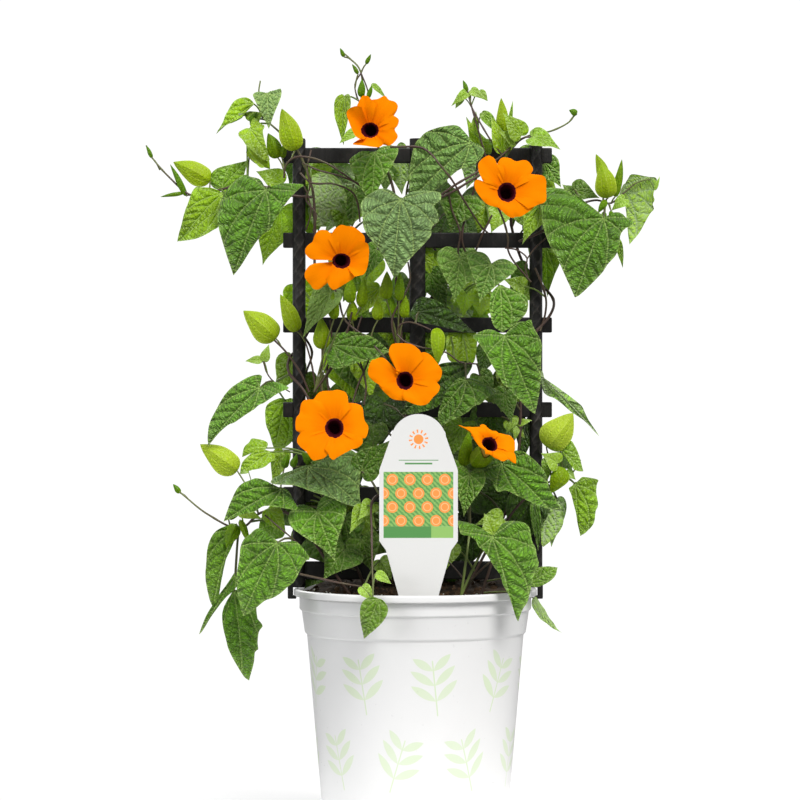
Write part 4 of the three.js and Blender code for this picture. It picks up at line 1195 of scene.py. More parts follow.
def leaf_finish(look):
    """Quilted leaf skin: pale veins in grooves, swollen rows across them and a pale underside, with
    painted light: shade painted in the hollows, highlights on the raised cells, a rim light along the
    margin, and each leaf's painted shading and greyish sheen.
    """
    finish = Finish("leaf_skin", 0.4, 0.55, sheen_weight=0.08, sheen_roughness=0.4)
    x, y = finish.uv()
    young, under, shade, size, edge, bare = (
        finish.mark(name) for name in ("young", "under", "shade", "size", "edge", "bare")
    )
    flat = finish.vector(x * size, y * size)
    wobble = finish.noise(flat, 4, 2) - 0.5
    bent_x, bent_y = x + 0.2 * wobble * np.absolute(x), y + 0.1 * wobble
    gap = (vein_gap(bent_x, bent_y) - PRIMARY_THINNER) * size
    vein = np.exp(0 - (gap / 0.0085) ** 2)
    groove = np.exp(0 - (gap / 0.014) ** 2)
    swell = 1 - np.exp(0 - (gap / 0.045) ** 2)
    reach = np.sqrt(bent_x * bent_x + bent_y * bent_y) * size
    sweep = np.arctan2(bent_x, bent_y) * reach
    rows = finish.cells(finish.vector(sweep * 10, reach * 23), 1)
    beads = finish.cells(flat, 30)
    pillow = 1 - (1 - ramp(rows, 0, 0.42)) ** 2
    patch = finish.noise(finish.place(), 45, 3, 0.6)
    grain = finish.noise(flat, 90, 2)
    green = finish.mix(young, look.mature_leaf, look.young_leaf)
    # Painted sheen: leaves with painted shading above 0.1, unless young, are greyed as by the lamps'
    # reflection
    green = finish.mix(clamp(4 * (shade - 0.1)) * (1 - young), green, look.painted_sheen)
    # Brightness: each leaf's painted shading, which darkens or lightens it, with random patches and grain of
    # tone
    light = 1.08 + shade + (patch - 0.5) * 1.7 + (grain - 0.5) * 0.6
    green = finish.brighter(green, np.maximum(light, 0.06))
    # Painted shade: the hollows beside the veins, between the rows and round the raised cells are darkened
    # towards black
    dark = finish.mix(0.8, green, (0, 0, 0))
    rough = 1 - 0.6 * young
    painted_hollow_shade = clamp(0.3 * (1 - pillow) + 0.2 * ramp(beads, 0.16, 0) + 0.3 * (1 - swell)) * rough
    # The pale vein colour is darkened or lightened by the leaf's painted shading too
    pale = finish.brighter(look.vein, clamp(1 + 1.2 * shade, 0.06, 1))
    upper = finish.mix(painted_hollow_shade, green, dark)
    # Painted highlight: the tops of the raised cells are lightened towards the pale vein colour
    painted_cell_highlights = ramp(beads, 0.15, 0.42) * pillow * rough
    # The pale colour goes on the veins and rungs, and as a painted rim light along the margin
    lines = 0.54 * vein + 0.1 * ramp(rows, 0.08, 0) + 0.4 * edge + 0.24 * painted_cell_highlights
    upper = finish.mix(clamp(lines), upper, pale)
    lower = finish.mix(clamp(0.12 + 0.9 * vein + 0.6 * (1 - pillow) + 0.15 * patch), green, look.underside)
    skin = finish.mix(under, upper, lower)
    stalk = finish.mix(clamp(young + 0.4 * patch), look.stem, look.young_stem)
    finish.set("Base Color", finish.mix(bare, skin, stalk))
    net = 0.3 * pillow + 0.11 * ramp(beads, 0, 0.4) + 0.05 * grain
    relief = (0.2 * (1 - groove) + 0.62 * swell + net) * size * rough * (1 - bare)
    normal = finish.bump(relief * (1 - 0.25 * under), look.relief)
    finish.set("Roughness", 0.3 + 0.2 * patch + 0.2 * under)
    glow = finish.mix(0.3, green, look.glow)
    finish.see_through(look.glow_share * (1 + young), glow, normal)
    return finish.material


# ---------------------------------------------------------------- stems' finish


def stem_finish(look):
    """Thin brown-purple bark, with fine lengthwise streaks, that is green on young shoots."""
    finish = Finish("stem_skin", 0.5, 0.4)
    turn, run = finish.uv()
    young = finish.mark("young")
    streak = finish.noise(finish.vector(turn * 14, run * 60), 1, 3)
    patch = finish.noise(finish.place(), 70, 2)
    bark = finish.brighter(look.stem, 0.6 + 0.8 * streak)
    finish.set("Base Color", finish.mix(clamp(young * 1.3 - 0.6 * (patch - 0.2)), bark, look.young_stem))
    finish.bump(streak, 0.15)
    return finish.material


# ---------------------------------------------------------------- flowers


class Flower(NamedTuple):
    """A flower: the throat's centre, the way it looks, the throat's half width and height, and its petals.

    A petal is its margin as seen from the front, in grid steps right and up from the throat's centre,
    from one neighbour to the next, clockwise. `rise` is how far each petal's edge comes forward in mm.
    """

    centre: tuple
    look: tuple
    throat: tuple
    petals: tuple
    rise: tuple = (1, 0, 1, 0, 1)


FLOWERS = {
    "flower_1": Flower((-30.3, -52, 471.6), (-0.1, -1, 0.0), (5.9, 5.2), (
        ((-13, 23), (-8, 33), (-4, 34), (-1, 33), (2, 30)),
        ((2, 30), (8, 31), (15, 34), (19, 30), (25, 28), (28, 24), (27, 19), (24, 14)),
        ((24, 14), (29, 10), (28, 4), (25, 0), (28, -6), (26, -11), (20, -16), (14, -15)),
        ((14, -15), (8, -18), (-7, -16), (-16, -15), (-13, -12), (-7, -10)),
        ((-7, -10), (-12, -8), (-16, -2), (-22, 14), (-20, 20), (-13, 23)),
    ), (2, 0, 1, 5, 6)),
    "flower_2": Flower((60.3, -58, 430.1), (0.05, -1, 0.1), (6.2, 6.7), (
        ((-24, 10), (-27, 16), (-29, 23), (-28, 30), (-20, 36), (-15, 35), (-12, 32), (-10, 28)),
        (
            (-10, 28), (-7, 33), (-3, 35), (3, 34), (9, 31), (16, 32), (21, 31), (25, 26), (26, 22),
            (24, 18),
        ),
        ((24, 18), (36, 16), (39, 11), (39, 4), (39, -7), (37, -11), (31, -13), (27, -15)),
        ((27, -15), (15, -24), (9, -25), (5, -26), (0, -24), (-9, -16)),
        ((-9, -16), (-21, -12), (-31, 0), (-33, 8), (-32, 11), (-29, 12), (-24, 10)),
    )),
    "flower_3": Flower((-49, -58, 384.6), (0.1, -1, -0.1), (6.1, 5.1), (
        (
            (-10, 1), (-25, 1), (-31, 2), (-36, 7), (-36, 12), (-33, 16), (-29, 19), (-27, 25), (-23, 30),
            (-18, 31), (-14, 30), (-10, 27),
        ),
        ((-10, 27), (-7, 32), (-1, 36), (5, 35), (12, 34), (21, 27), (23, 23), (23, 19)),
        ((23, 19), (26, 17), (27, 10), (26, -1), (24, -9), (21, -13), (17, -14)),
        ((17, -14), (14, -15), (9, -19), (-6, -28), (-11, -27), (-14, -22)),
        (
            (-14, -22), (-22, -28), (-28, -28), (-31, -24), (-36, -18), (-37, -13), (-35, -8), (-31, -4),
            (-24, -2), (-10, -1),
        ),
    ), (0, 2, 4, 1, 0)),
    "flower_4": Flower((-7.1, -62, 305.6), (-0.05, -1, 0.05), (5.6, 6.2), (
        ((-9, 11), (-15, 23), (-16, 29), (-14, 35), (-10, 37), (3, 37), (9, 35), (14, 31), (16, 28)),
        ((16, 28), (21, 28), (27, 24), (36, 12), (37, 7), (35, 1), (32, -2)),
        ((32, -2), (35, -6), (33, -12), (28, -17), (23, -23), (17, -25), (10, -24), (1, -20)),
        ((1, -20), (-11, -19), (-17, -15), (-22, -10), (-26, -4)),
        ((-26, -4), (-31, -1), (-37, 7), (-34, 19), (-30, 21), (-24, 23), (-19, 21), (-9, 11)),
    )),
    "flower_5": Flower((-53.6, -62, 274.4), (0, -1, 0.1), (6.2, 6.7), (
        ((-21, 28), (-14, 36), (-2, 37), (3, 38), (10, 36), (13, 32), (14, 25)),
        ((14, 25), (23, 24), (28, 20), (30, 8), (34, 1), (32, -9), (28, -11)),
        ((28, -11), (28, -16), (23, -20), (17, -22), (4, -29), (-1, -32), (-5, -29), (-6, -26)),
        (
            (-6, -26), (-10, -30), (-17, -32), (-22, -32), (-28, -24), (-33, -20), (-37, -15), (-37, -10),
            (-34, -5),
        ),
        (
            (-34, -5), (-38, -3), (-39, 3), (-38, 10), (-35, 14), (-34, 21), (-32, 26), (-28, 28),
            (-21, 28),
        ),
    )),
    "flower_6": Flower((49.1, -54, 263.7), (0.3, -0.8, 0.5), (5.6, 5.6), (
        ((-20, 12), (-32, 18), (-26, 17), (-16, 16), (-10, 16)),
        ((-10, 16), (-10, 18), (-7, 19), (-3, 17), (1, 13), (8, 11)),
        ((8, 11), (16, 9), (22, 6), (25, 1), (24, -8)),
        ((24, -8), (26, -19), (23, -19), (18, -16), (12, -18), (6, -15)),
        ((6, -15), (0, -11), (-5, -10), (-6, -7), (-12, -2), (-19, 9), (-20, 12)),
    ), (0, 0, 0, 0, 0)),
}
TUBE_LENGTH = 15.5
PETAL_THICKNESS = 0.35
PETAL_OVERLAP = 11.0  # degrees that a petal goes on under or over its neighbour


def flower_frame(look):
    """Rows: right and up as the flower is looked at, and the way it looks."""
    forward = unit(np.array(look, float))
    up = unit(np.array((0, 0, 1.0)) - forward * forward[2])
    return np.array([np.cross(up, forward), up, forward])


def turned(point, degrees, share):
    """A point of a plane, turned about the origin and brought nearer to it."""
    a = np.radians(degrees)
    return share * np.array([[np.cos(a), -np.sin(a)], [np.sin(a), np.cos(a)]]) @ point


def petal(flower, order, rng):
    """One petal: straight lines from the throat's ellipse to the margin, v out and u along the margin.

    The margin is a smooth path that goes on a little past both neighbours. The height is a low dome,
    sin(pi v), plus the petal's rise v^2, a slope in u that lays it over one neighbour and under the
    other, a shallow channel down its middle, and waves that grow towards the margin.
    """
    axes = flower_frame(flower.look)
    corners = on_plane(flower.petals[order], flower.centre[1], axes)
    first, last = turned(corners[0], PETAL_OVERLAP, 0.88), turned(corners[-1], -PETAL_OVERLAP, 0.88)
    margin = smooth_path([first, *corners, last], 44)
    turn = np.unwrap(np.arctan2(margin[:, 1], margin[:, 0]))
    turn = np.linspace(turn[0], turn[-1], len(turn)) * 0.5 + turn * 0.5
    inner = 0.78 * np.array(flower.throat)[:, None] * np.array([np.cos(turn), np.sin(turn)])
    v = np.linspace(0, 1, 21)[:, None]
    u = np.linspace(-1, 1, len(margin))[None]
    flat = inner.T[None] + v[..., None] * (margin - inner.T)[None]
    ripple = 0.35 * np.sin(7 * u + 6 * rng.random()) * v**3 + 0.2 * np.sin(15 * u + 6 * rng.random()) * v**5
    dome = 1.7 * np.sin(np.pi * v * 0.85) - 1.5 * (1 - v) ** 3
    slope = 0.6 * u * (v * (1.15 - 0.5 * v))
    channel = -0.3 * np.exp(-((u / 0.25) ** 2)) * v * (1.2 - v)
    height = dome + flower.rise[order] * v**2 + slope + channel + ripple
    across, up = np.moveaxis(flat, -1, 0)
    depths = (0, PETAL_THICKNESS * (1 - 0.7 * v))
    front, back = (joined(across, up, height - depth) @ axes + flower.centre for depth in depths)
    return slab(front, back, flat / flower.throat, out=v)


def corolla_tube(flower):
    """The tube behind the petals: a turned wall, dark inside, that narrows to the ovary."""
    wide, end = min(flower.throat), -TUBE_LENGTH
    profile = [
        (0, end), (2.2, end), (3.4, end + 3), (4.2, -8), (wide - 0.4, -3.5), (wide + 0.1, -1.6),
        (wide - 0.4, -1.4), (wide - 1.1, -3.5), (3.5, -8), (2.6, end + 2.4), (0, end + 2.2),
    ]
    smooth = rounded(profile, 1.2, 3)
    skin = lathe(smooth, 28, outer=(np.arange(len(smooth)) < 0.5 * len(smooth))[:, None])
    return skin._replace(points=skin.points @ flower_frame(flower.look) + flower.centre, uv=skin.uv * 0)


def corolla(flower, seed):
    """An open flower: five petals and the tube behind them."""
    rng = np.random.default_rng(seed)
    return [*(petal(flower, order, rng) for order in range(5)), corolla_tube(flower)]


def petal_finish(look):
    """Soft orange petal with faint rays, and a near-black eye whose edge wavers a little."""
    finish = Finish("petal", 0.7, 0.02)
    x, y = finish.uv()
    out, outer = finish.mark("out"), finish.mark("outer")
    turn = np.arctan2(y, x)
    waver = finish.noise(finish.vector(np.cos(turn), np.sin(turn)), 2.2, 2)
    eye = ramp(np.sqrt(x * x + y * y) - 0.3 * (waver - 0.5), 1.03, 0.97)
    rays = finish.noise(finish.vector(np.cos(turn) * 12, np.sin(turn) * 12, out * 1.2), 1, 3)
    patch = finish.noise(finish.place(), 90, 2)
    orange = finish.mix(ramp(out, 0, 0.6), look.petal_base, look.petal)
    orange = finish.brighter(orange, 1 + 0.12 * (rays - 0.5) + 0.06 * (patch - 0.5))
    dark = finish.mix(patch, look.throat, look.throat_rim)
    colour = finish.mix(eye, orange, dark)
    finish.set("Base Color", finish.mix(outer, colour, look.tube))
    normal = finish.bump(0.7 * rays + 0.3 * patch, 0.1)
    finish.see_through((1 - eye) * (1 - outer) * 0.14, orange, normal)
    return finish.material


# ---------------------------------------------------------------- buds and bracts


class Bud(NamedTuple):
    """Two bracts closed over a bud, from the stalk's end to their tip, in mm. The stalk starts at `root`."""

    base: tuple
    tip: tuple
    width: float
    tone: float = 0.0
    root: tuple = None


BUDS = [
    Bud((-139, -8, 441), (-164, -8, 454), 16),
    Bud((-81, -18, 461), (-90, -20, 489), 16),
    Bud((-80, -18, 339), (-91, -20, 364), 12),
    Bud((-94, -16, 334), (-116, -18, 353), 19, tone=-0.1),
    Bud((88.5, -12, 261), (106.5, -14, 284), 22, tone=-0.35),
    Bud((-120, -18, 245), (-145, -20, 263), 18, tone=-0.25),
    Bud((59, -10, 472), (58, -12, 497), 9),
]
FAN_ROOT = (314, 392, -12)
BRACT_FACE = (0.15, -1, 0.1)
HOLDER_LENGTH = 29.5
VIEW_BUDS = [  # base and tip as in VIEW_LEAVES, width in mm, tone, and the root where it is given
    ((250, 146, -14), (270, 169, -18), 13, 0.3), ((608, 198, -16), (601, 163, -18), 15.5, 0),
    ((606, 182, -8), (596, 154, -8), 9, 0.1), ((615, 197, -10), (622, 159, -10), 6, 0.6),
    ((322, 349, -14), (321, 317, -16), 12, 0.1, (322, 392, -12)),
    ((350, 303, -24), (350, 275, -26), 8.5, 0.45, FAN_ROOT),
    ((361, 307, -20), (364, 278, -22), 8, 0.4, FAN_ROOT),
    ((334, 319, -22), (333, 292, -22), 8, 0.4, FAN_ROOT),
    ((386, 299, -20), (387, 271, -22), 9, 0.3, (398, 345, -14)),
    ((399, 301, -20), (400, 272, -20), 7, 0.6, (398, 345, -14)),
    ((391, 316, -16), (390, 293, -16), 7, 0.6, (398, 345, -14)),
    ((404, 318, -16), (405, 294, -16), 7, 0.3, (398, 345, -14)),
    ((437, 328, -28), (438, 365, -34), 10, 0.2), ((564, 468, -12), (551, 493, -16), 13, 0.4),
    ((361, 97, -10), (362, 79, -10), 5.5, 0.9), ((368, 98, -10), (372, 85, -10), 3.5, 0.9),
    ((463, 466, -34), (469, 430, -40), 9, 0.5), ((186, 196, -12), (170, 164, -12), 4.5, 0.9),
    ((184, 193, -12), (160, 197, -12), 3, 0.8), ((152, 158, -11), (146, 145, -11), 3, 0.9, (160, 170, -11)),
    ((344, 57, -6), (340, 48, -6), 3, 0.9), ((366, 64, -8), (371, 54, -8), 3, 0.9, (361, 73, -8)),
    ((358, 74, -8), (352, 64, -8), 3, 0.9), ((577, 114, -8), (569, 110, -9), 5, 0.9),
    ((180, 493, -11), (173, 484, -11), 4, 0.8), ((467, 92, -12), (463, 80, -12), 3.5, 0.8),
    ((310, 463, -20), (302, 452, -24), 6, 1), ((284, 468, -20), (288, 453, -22), 5.5, 1),
    ((292, 467, -22), (297, 454, -24), 5, 1), ((236, 524, -18), (226, 548, -24), 10, 0.6),
    ((240, 520, -20), (250, 545, -22), 5, 0.5), ((228, 518, -18), (243, 508, -22), 6, 0.7),
    ((605, 212, -18), (600, 224, -22), 4, 0.8), ((611, 211, -18), (612, 226, -22), 4, 0.8),
    ((606, 200, -16), (598, 213, -18), 5, 0.7), ((245, 116, -14), (238, 103, -14), 4, 0.9),
    ((250, 122, -16), (257, 112, -16), 4, 0.9), ((278, 158, -12), (268, 133, -14), 11, 0.5),
    ((378, 320, -18), (377, 299, -18), 8, 0.2), ((352, 321, -18), (353, 300, -18), 8, 0.2),
    ((282, 158, -12), (285, 142, -14), 5, 0.6),
]


def bract_pair(base, tip, width, tone):
    """Two bracts pressed together: a flat pod with a keel down either face, egg-shaped with a drawn-out tip.

    At share t of the length the half width is a multiple of t^0.5 * (1 - t)^0.95. Round the section at
    angle a, x is the half width times cos a, and the face stands 0.62 * (1 - |cos a|)^0.9 of it high.
    """
    along = np.array(tip, float) - base
    length = np.linalg.norm(along)
    rows, columns = (25, 40) if width > 7.5 else (13, 20)
    t = (1 - np.cos(np.linspace(0, np.pi, rows)[:, None])) / 2
    turn = round_turn(columns)
    wave = 1 + 0.05 * np.sin(9 * t + 2 * np.sign(np.cos(turn)))
    half = np.maximum(width / 2 * 2.5 * t**0.5 * (1 - t) ** 0.95, 0.001)
    across = np.cos(turn)
    z = 0.62 * half * np.sign(np.sin(turn)) * (1 - np.abs(across)) ** 0.9
    bow = 0.07 * length * np.sin(np.pi * t)
    lean = length * across**2 * (1 - t) * (0.04 * t - 0.1 * np.sin(np.pi * t))
    local = joined(half * across * wave, t * length + lean, z + bow)
    uv = joined(np.cos(np.linspace(0, 2 * np.pi, columns + 1)), t)
    return globe(np.array(base) + local @ basis(along, BRACT_FACE), uv, tone=tone, bare=0.0)


def bud(row):
    """A bud in its two bracts, with its stalk."""
    path = stalk_path(row.base, root=row.root)
    return [
        bract_pair(row.base, row.tip, row.width, row.tone),
        tube(path, np.linspace(0.6, 0.5, len(path)), 8, bare=1.0, tone=row.tone),
    ]


def all_buds():
    """Every bud. Those that are given as they are seen from the front are put in millimetres."""
    seen = [
        Bud(*in_view([base, tip]), width, tone, *(in_view(root) if root else ()))
        for base, tip, width, tone, *root in VIEW_BUDS
    ]
    return BUDS + seen


def flower_holder(flower):
    """The two bracts that clasp a flower's tube, and its stalk.

    They are a turned cup about the tube's axis, whose lip at turn a rises and falls with cos 2a.
    """
    wall = [
        (0, -30), (1.2, -29.6), (5.4, -25), (7, -19), (6.4, -12), (5.2, -7), (4.9, -7), (6, -12),
        (6.5, -19), (4.9, -24.4), (0, -28),
    ]
    radius, height = rounded(wall, 3.0, 4).T[..., None]
    turn = round_turn(32)
    lobe = np.clip((height + 24) / 17, 0, 1) ** 2 * (np.cos(2 * turn) - 0.3)
    reach = radius * (1 + 0.12 * np.cos(2 * turn))
    rings = joined(reach * np.cos(turn), reach * np.sin(turn), height + 3.4 * lobe)
    uv = joined(np.cos(np.linspace(0, 2 * np.pi, 33)), (height + 30) / 30)
    points = rings @ flower_frame(flower.look) + flower.centre
    base = np.array(flower.centre) - unit(np.array(flower.look, float)) * HOLDER_LENGTH
    path = stalk_path(base)
    return [globe(points, uv, tone=0.2, bare=0.0), tube(path, 0.65, 8, bare=1.0)]


def bract_finish(look):
    """Lime bract: a pale midrib and side veins from end to end, a net between them, and a paler edge."""
    finish = Finish("bract", 0.45, 0.3)
    across, t = finish.uv()
    bare, tone = finish.mark("bare"), finish.mark("tone")
    wobble = finish.noise(finish.place(), 160, 2)
    vein = np.absolute(np.remainder(across * 2.2 + 0.5 + 0.3 * (wobble - 0.5), 1) - 0.5)
    rib = ramp(vein, 0.09, 0.02)
    patch = finish.noise(finish.place(), 90, 3)
    cells = finish.cells(finish.place(), 430)
    net = 1 - ramp(cells, 0, 0.1)
    edge = np.absolute(across) ** 6
    lime = finish.mix(clamp(tone + 0.9 * (patch - 0.5) + 0.25 * t), look.bract, look.bract_green)
    lime = finish.brighter(lime, (0.6 + 0.8 * patch) * (0.8 + 0.3 * ramp(cells, 0.05, 0.4)))
    lime = finish.mix(clamp(0.5 * rib + 0.25 * net + 0.4 * edge - tone), lime, look.bract_rib)
    stalk = finish.mix(patch, look.stem, look.young_stem)
    finish.set("Base Color", finish.mix(bare, lime, stalk))
    normal = finish.bump((0.3 + 0.5 * ramp(cells, 0, 0.4) - 0.3 * rib) * (1 - bare), 0.6)
    finish.see_through(0.3 * (1 - bare), lime, normal)
    return finish.material


# ---------------------------------------------------------------- pot


POT_SIDES = 180
WALL = 1.4
FLOOR = 2.0
DRAIN_HOLES = 8
DRAIN_RADIUS = 4.5
DRAIN_CIRCLE = 48.0
LIP_DEPTH = 4.7
PRINT_ROW = 0.052  # m from one row of printed sprigs to the next
PRINTS_ROUND = 9.0


def pot_wall(z):
    """The radius of the wall's outer face at a height."""
    return 61.9 + 0.087 * z


def pot_profile():
    """The pot's outline from the middle of its underside, up and over the lip, down to the floor inside."""
    rim, _, height = node_box("pot")[1]
    lip = height - LIP_DEPTH
    outside = [
        (0, 0.8), (56, 0.8), (57, 0), (60.4, 0), (pot_wall(1.5), 1.5), (pot_wall(134), 134), (74.2, 134.6),
        (75.1, 135.6), (77.2, 150.2), (77.9, 150.6), (78.7, 151.4), (78.7, lip - 0.4), (79.6, lip),
        (rim - 0.1, lip), (rim, lip + 1), (rim, height - 0.8), (rim - 0.9, height),
    ]
    inside = [
        (79.4, height), (78.7, height - 0.8), (75.8, 150.5), (73.7, 135.5), (pot_wall(133.5) - WALL, 133.5),
        (pot_wall(2) - WALL, FLOOR + 2), (pot_wall(0) - WALL - 2, FLOOR), (0, FLOOR),
    ]
    return rounded(outside + inside, 0.8, 4)


def pot_finish(look):
    """Satin white plastic with a pale print of leafy sprigs round the wall."""
    finish = Finish("pot_plastic", 0.28, 0.5, coat_weight=0.25, coat_roughness=0.15)
    turns, height = finish.uv()
    row = (height - 0.028) / PRINT_ROW
    column = turns * PRINTS_ROUND + 0.5 * np.remainder(np.floor(row), 2)
    p = np.remainder(column, 1) - 0.5
    q = np.remainder(row, 1) - 0.5
    lean = 0.35 * np.sin(np.floor(column) * 2.4 + np.floor(row) * 1.7)
    s, t = p * np.cos(lean) - q * np.sin(lean), p * np.sin(lean) + q * np.cos(lean)
    ink = ramp(np.absolute(s), 0.012, 0.006) * ramp(np.absolute(t + 0.05), 0.36, 0.35)
    for level, size in ((-0.22, 0.2), (-0.02, 0.19), (0.17, 0.16)):
        a = np.absolute(s) * 0.8 + (t - level) * 0.6
        b = (t - level) * 0.8 - np.absolute(s) * 0.6
        inside = 1 - (a / size - 1) * (a / size - 1)
        ink = np.maximum(ink, ramp(inside * 0.055 - np.absolute(b), 0, 0.006) * 0.8)
    on_wall = ramp(height, 0.128, 0.1275) * ramp(height, 0.026, 0.0265)
    cloud = finish.noise(finish.place(), 45, 2)
    scuff = finish.noise(finish.place(), 300, 3)
    x, y, z = finish.split(finish.place())
    inner = ramp(np.sqrt(x * x + y * y), 0.0812, 0.0795)
    spots = ramp(scuff + 0.6 * ramp(y, 0.05, -0.06), 0.75, 1.05)
    dirt = inner * ramp(z, 0.1585, 0.1625) * spots * ramp(x, 0.02, -0.03)
    white = finish.brighter(look.pot, 0.98 + 0.04 * cloud)
    white = finish.mix(dirt * 0.8, white, look.soil_light)
    finish.set("Base Color", finish.mix(ink * on_wall * (0.55 + 0.35 * cloud), white, look.pot_print))
    finish.set("Roughness", 0.24 + 0.12 * scuff)
    finish.bump(cloud * 0.6 + scuff * 0.4, 0.06)
    return finish.material


# ---------------------------------------------------------------- potting mix


SOIL_SIDES = 96
MOUND = 8.5  # how much higher the mix is heaped behind the stems


def soil_height(x, y):
    """The mix's surface: a low mound behind the middle that falls to the wall, with lumps of three sizes."""
    reach = np.sqrt(x**2 + y**2)
    fall = np.interp(reach, (0, 60, 74), (161.5, 161.0, 160.0))
    fall = fall + MOUND * np.clip((77 - reach) / 9, 0, 1) * np.clip((y + 8) / 28, 0, 1)
    lumps = 0.9 * np.sin(x * 0.31 + 1.3 * np.sin(y * 0.23)) * np.sin(y * 0.37 + 1.1 * np.sin(x * 0.29))
    clods = 0.7 * np.sin(x * 0.93 + 2 * np.sin(y * 0.71)) * np.sin(y * 1.07 + 2 * np.sin(x * 0.83))
    grit = 0.4 * np.sin(x * 2.3 + 2 * np.sin(y * 1.9)) * np.sin(y * 2.1 + 2 * np.sin(x * 2.2))
    return fall + lumps + clods + grit


def soil():
    """A plug that fills the pot: a turned side, and a top whose height is soil_height of (x, y)."""
    edge, foot = 78.2, 60.6
    radii = np.concatenate([[0, foot, 72.4, 75.2], np.linspace(edge, 0, 56)])
    heights = np.concatenate([[2.6, 2.6, 133, 152], np.zeros(56)])
    turn = round_turn(SOIL_SIDES)
    x, y = radii[:, None] * np.cos(turn), radii[:, None] * np.sin(turn)
    top = np.arange(len(radii))[:, None] >= 4
    z = np.where(top, soil_height(x, y), heights[:, None])
    return globe(joined(x, y, z), joined(x, y) * MM)


def crumbs(count, size, squash, rng):
    """Small rough lumps that lie on the mix: each a coarse globe, pushed in and out, turned at random."""
    tilt, around = np.linspace(0, np.pi, 5)[:, None], round_turn(6)
    skins = []
    for _ in range(count):
        reach = 76 * np.sqrt(rng.random())
        turn = 2 * np.pi * rng.random()
        x, y = reach * np.cos(turn), reach * np.sin(turn)
        ball = joined(np.sin(tilt) * np.cos(around), np.sin(tilt) * np.sin(around), np.cos(tilt))
        ball *= 1 + 0.3 * (rng.random(ball.shape[:2])[..., None] - 0.5)
        axes = np.linalg.qr(rng.normal(size=(3, 3)))[0]
        scale = size * (0.5 + rng.random()) * np.array((1.0, 0.8, squash))
        skins.append(globe((ball * scale) @ axes + (x, y, soil_height(x, y) + 0.3)))
    return skins


def soil_finish(look):
    """Dark, moist mix with lighter patches and coarse grains."""
    finish = Finish("potting_mix", 0.9, 0.2)
    coarse = finish.noise(finish.place(), 160, 5, 0.7)
    grains = finish.cells(finish.place(), 480, "F1")
    finish.set("Base Color", finish.mix(ramp(coarse, 0.35, 0.7), look.soil, look.soil_light))
    finish.bump(0.6 * coarse + 0.4 * grains, 0.8)
    return finish.material


def crumb_finish(name, dark, light):
    finish = Finish(name, 0.85, 0.25)
    patch = finish.noise(finish.place(), 400, 3)
    finish.set("Base Color", finish.mix(patch, dark, light))
    finish.bump(patch, 0.3)
    return finish.material


# ---------------------------------------------------------------- trellis


POST_STEP = 1.4  # mm between two rings of a post
POST_FRONT, POST_BACK = -5.0, 4.6
SIDE_POST_WIDTH, MIDDLE_POST_WIDTH = 8.8, 10.8
SIDE_POST_PLACE = 80.5
TRELLIS_MIDDLE = 1.5
RIM_TOP = 165.6  # where the side posts stand
EDGE_POWER = 0.22  # the smaller, the sharper a clip's edges


def soft(value, power):
    """A cosine or sine raised to a power with its sign kept, which squares a circle's shoulders."""
    return np.sign(value) * np.abs(value) ** power


def post(node):
    """A moulded post: its section is a half-round front on a flat back, with a woven bark relief.

    Section point at angle a: x = half width * cos a, y = the front's ellipse below the middle and a
    square-shouldered back above. The relief is two slanting waves that cross on the front.
    """
    low, high = node_box(node)
    is_middle = "middle" in node
    width = MIDDLE_POST_WIDTH if is_middle else SIDE_POST_WIDTH
    centre = (low[0] + high[0]) / 2
    if not is_middle:
        centre = np.sign(centre) * SIDE_POST_PLACE + TRELLIS_MIDDLE
    z = np.arange(low[2] if is_middle else RIM_TOP, high[2] + 0.01, POST_STEP)
    z = np.concatenate([[z[0]], z, [high[2], high[2]]])[:, None]
    grow = np.ones(z.shape)
    grow[[0, 1, -2, -1], 0] = (0, 0.96, 0.9, 0)
    turn = round_turn(40)
    cos, sin = np.cos(turn), np.sin(turn)
    middle = POST_FRONT + 0.42 * (POST_BACK - POST_FRONT)
    x = width / 2 * soft(cos, 0.75)
    y = np.where(sin < 0, (middle - POST_FRONT) * sin, (POST_BACK - middle) * soft(sin, 0.35))
    across = cos + 0.12 * np.sin(z * 0.13)
    strands = [np.abs(np.sin(z * 0.3 + slant * 2.1 * across + shift)) for slant, shift in ((1, 0), (-1, 0.9))]
    ridge = (1 - np.minimum(*strands) / 0.45).clip(0, 1)
    grain = 0.5 + 0.5 * np.sin(turn * 13 + 1.5 * np.sin(z * 0.35))
    on_front = np.clip(-sin, 0, 1) ** 0.5
    sunk = grow * (1 - on_front * (0.12 * (1 - ridge) + 0.03 * grain))
    return globe(joined(centre + x * sunk, middle + y * sunk, z), ridge=ridge * on_front)


def bar(node):
    """A flat bar with rounded edges: a rounded-rectangle section carried along X and closed at its ends."""
    low, high = node_box(node)
    middle, half = (low + high) / 2, (high - low) / 2
    turn = round_turn(32)
    y = half[1] * soft(np.cos(turn), 0.3)
    z = half[2] * soft(np.sin(turn), 0.18)
    inset = np.array([0, 0, 0.15, 0.55, 1.2])
    shrink = np.array([0, 0.72, 0.86, 0.95, 1.0])
    x = np.concatenate([-half[0] + inset, np.linspace(-half[0] + 3, half[0] - 3, 50), half[0] - inset[::-1]])
    grow = np.concatenate([shrink, np.ones(50), shrink[::-1]])[:, None]
    squeeze = np.where(grow > 0, 1 - (1 - grow) * 0.45, 0)
    return globe(joined(x[:, None], y * grow, z * squeeze) + middle)


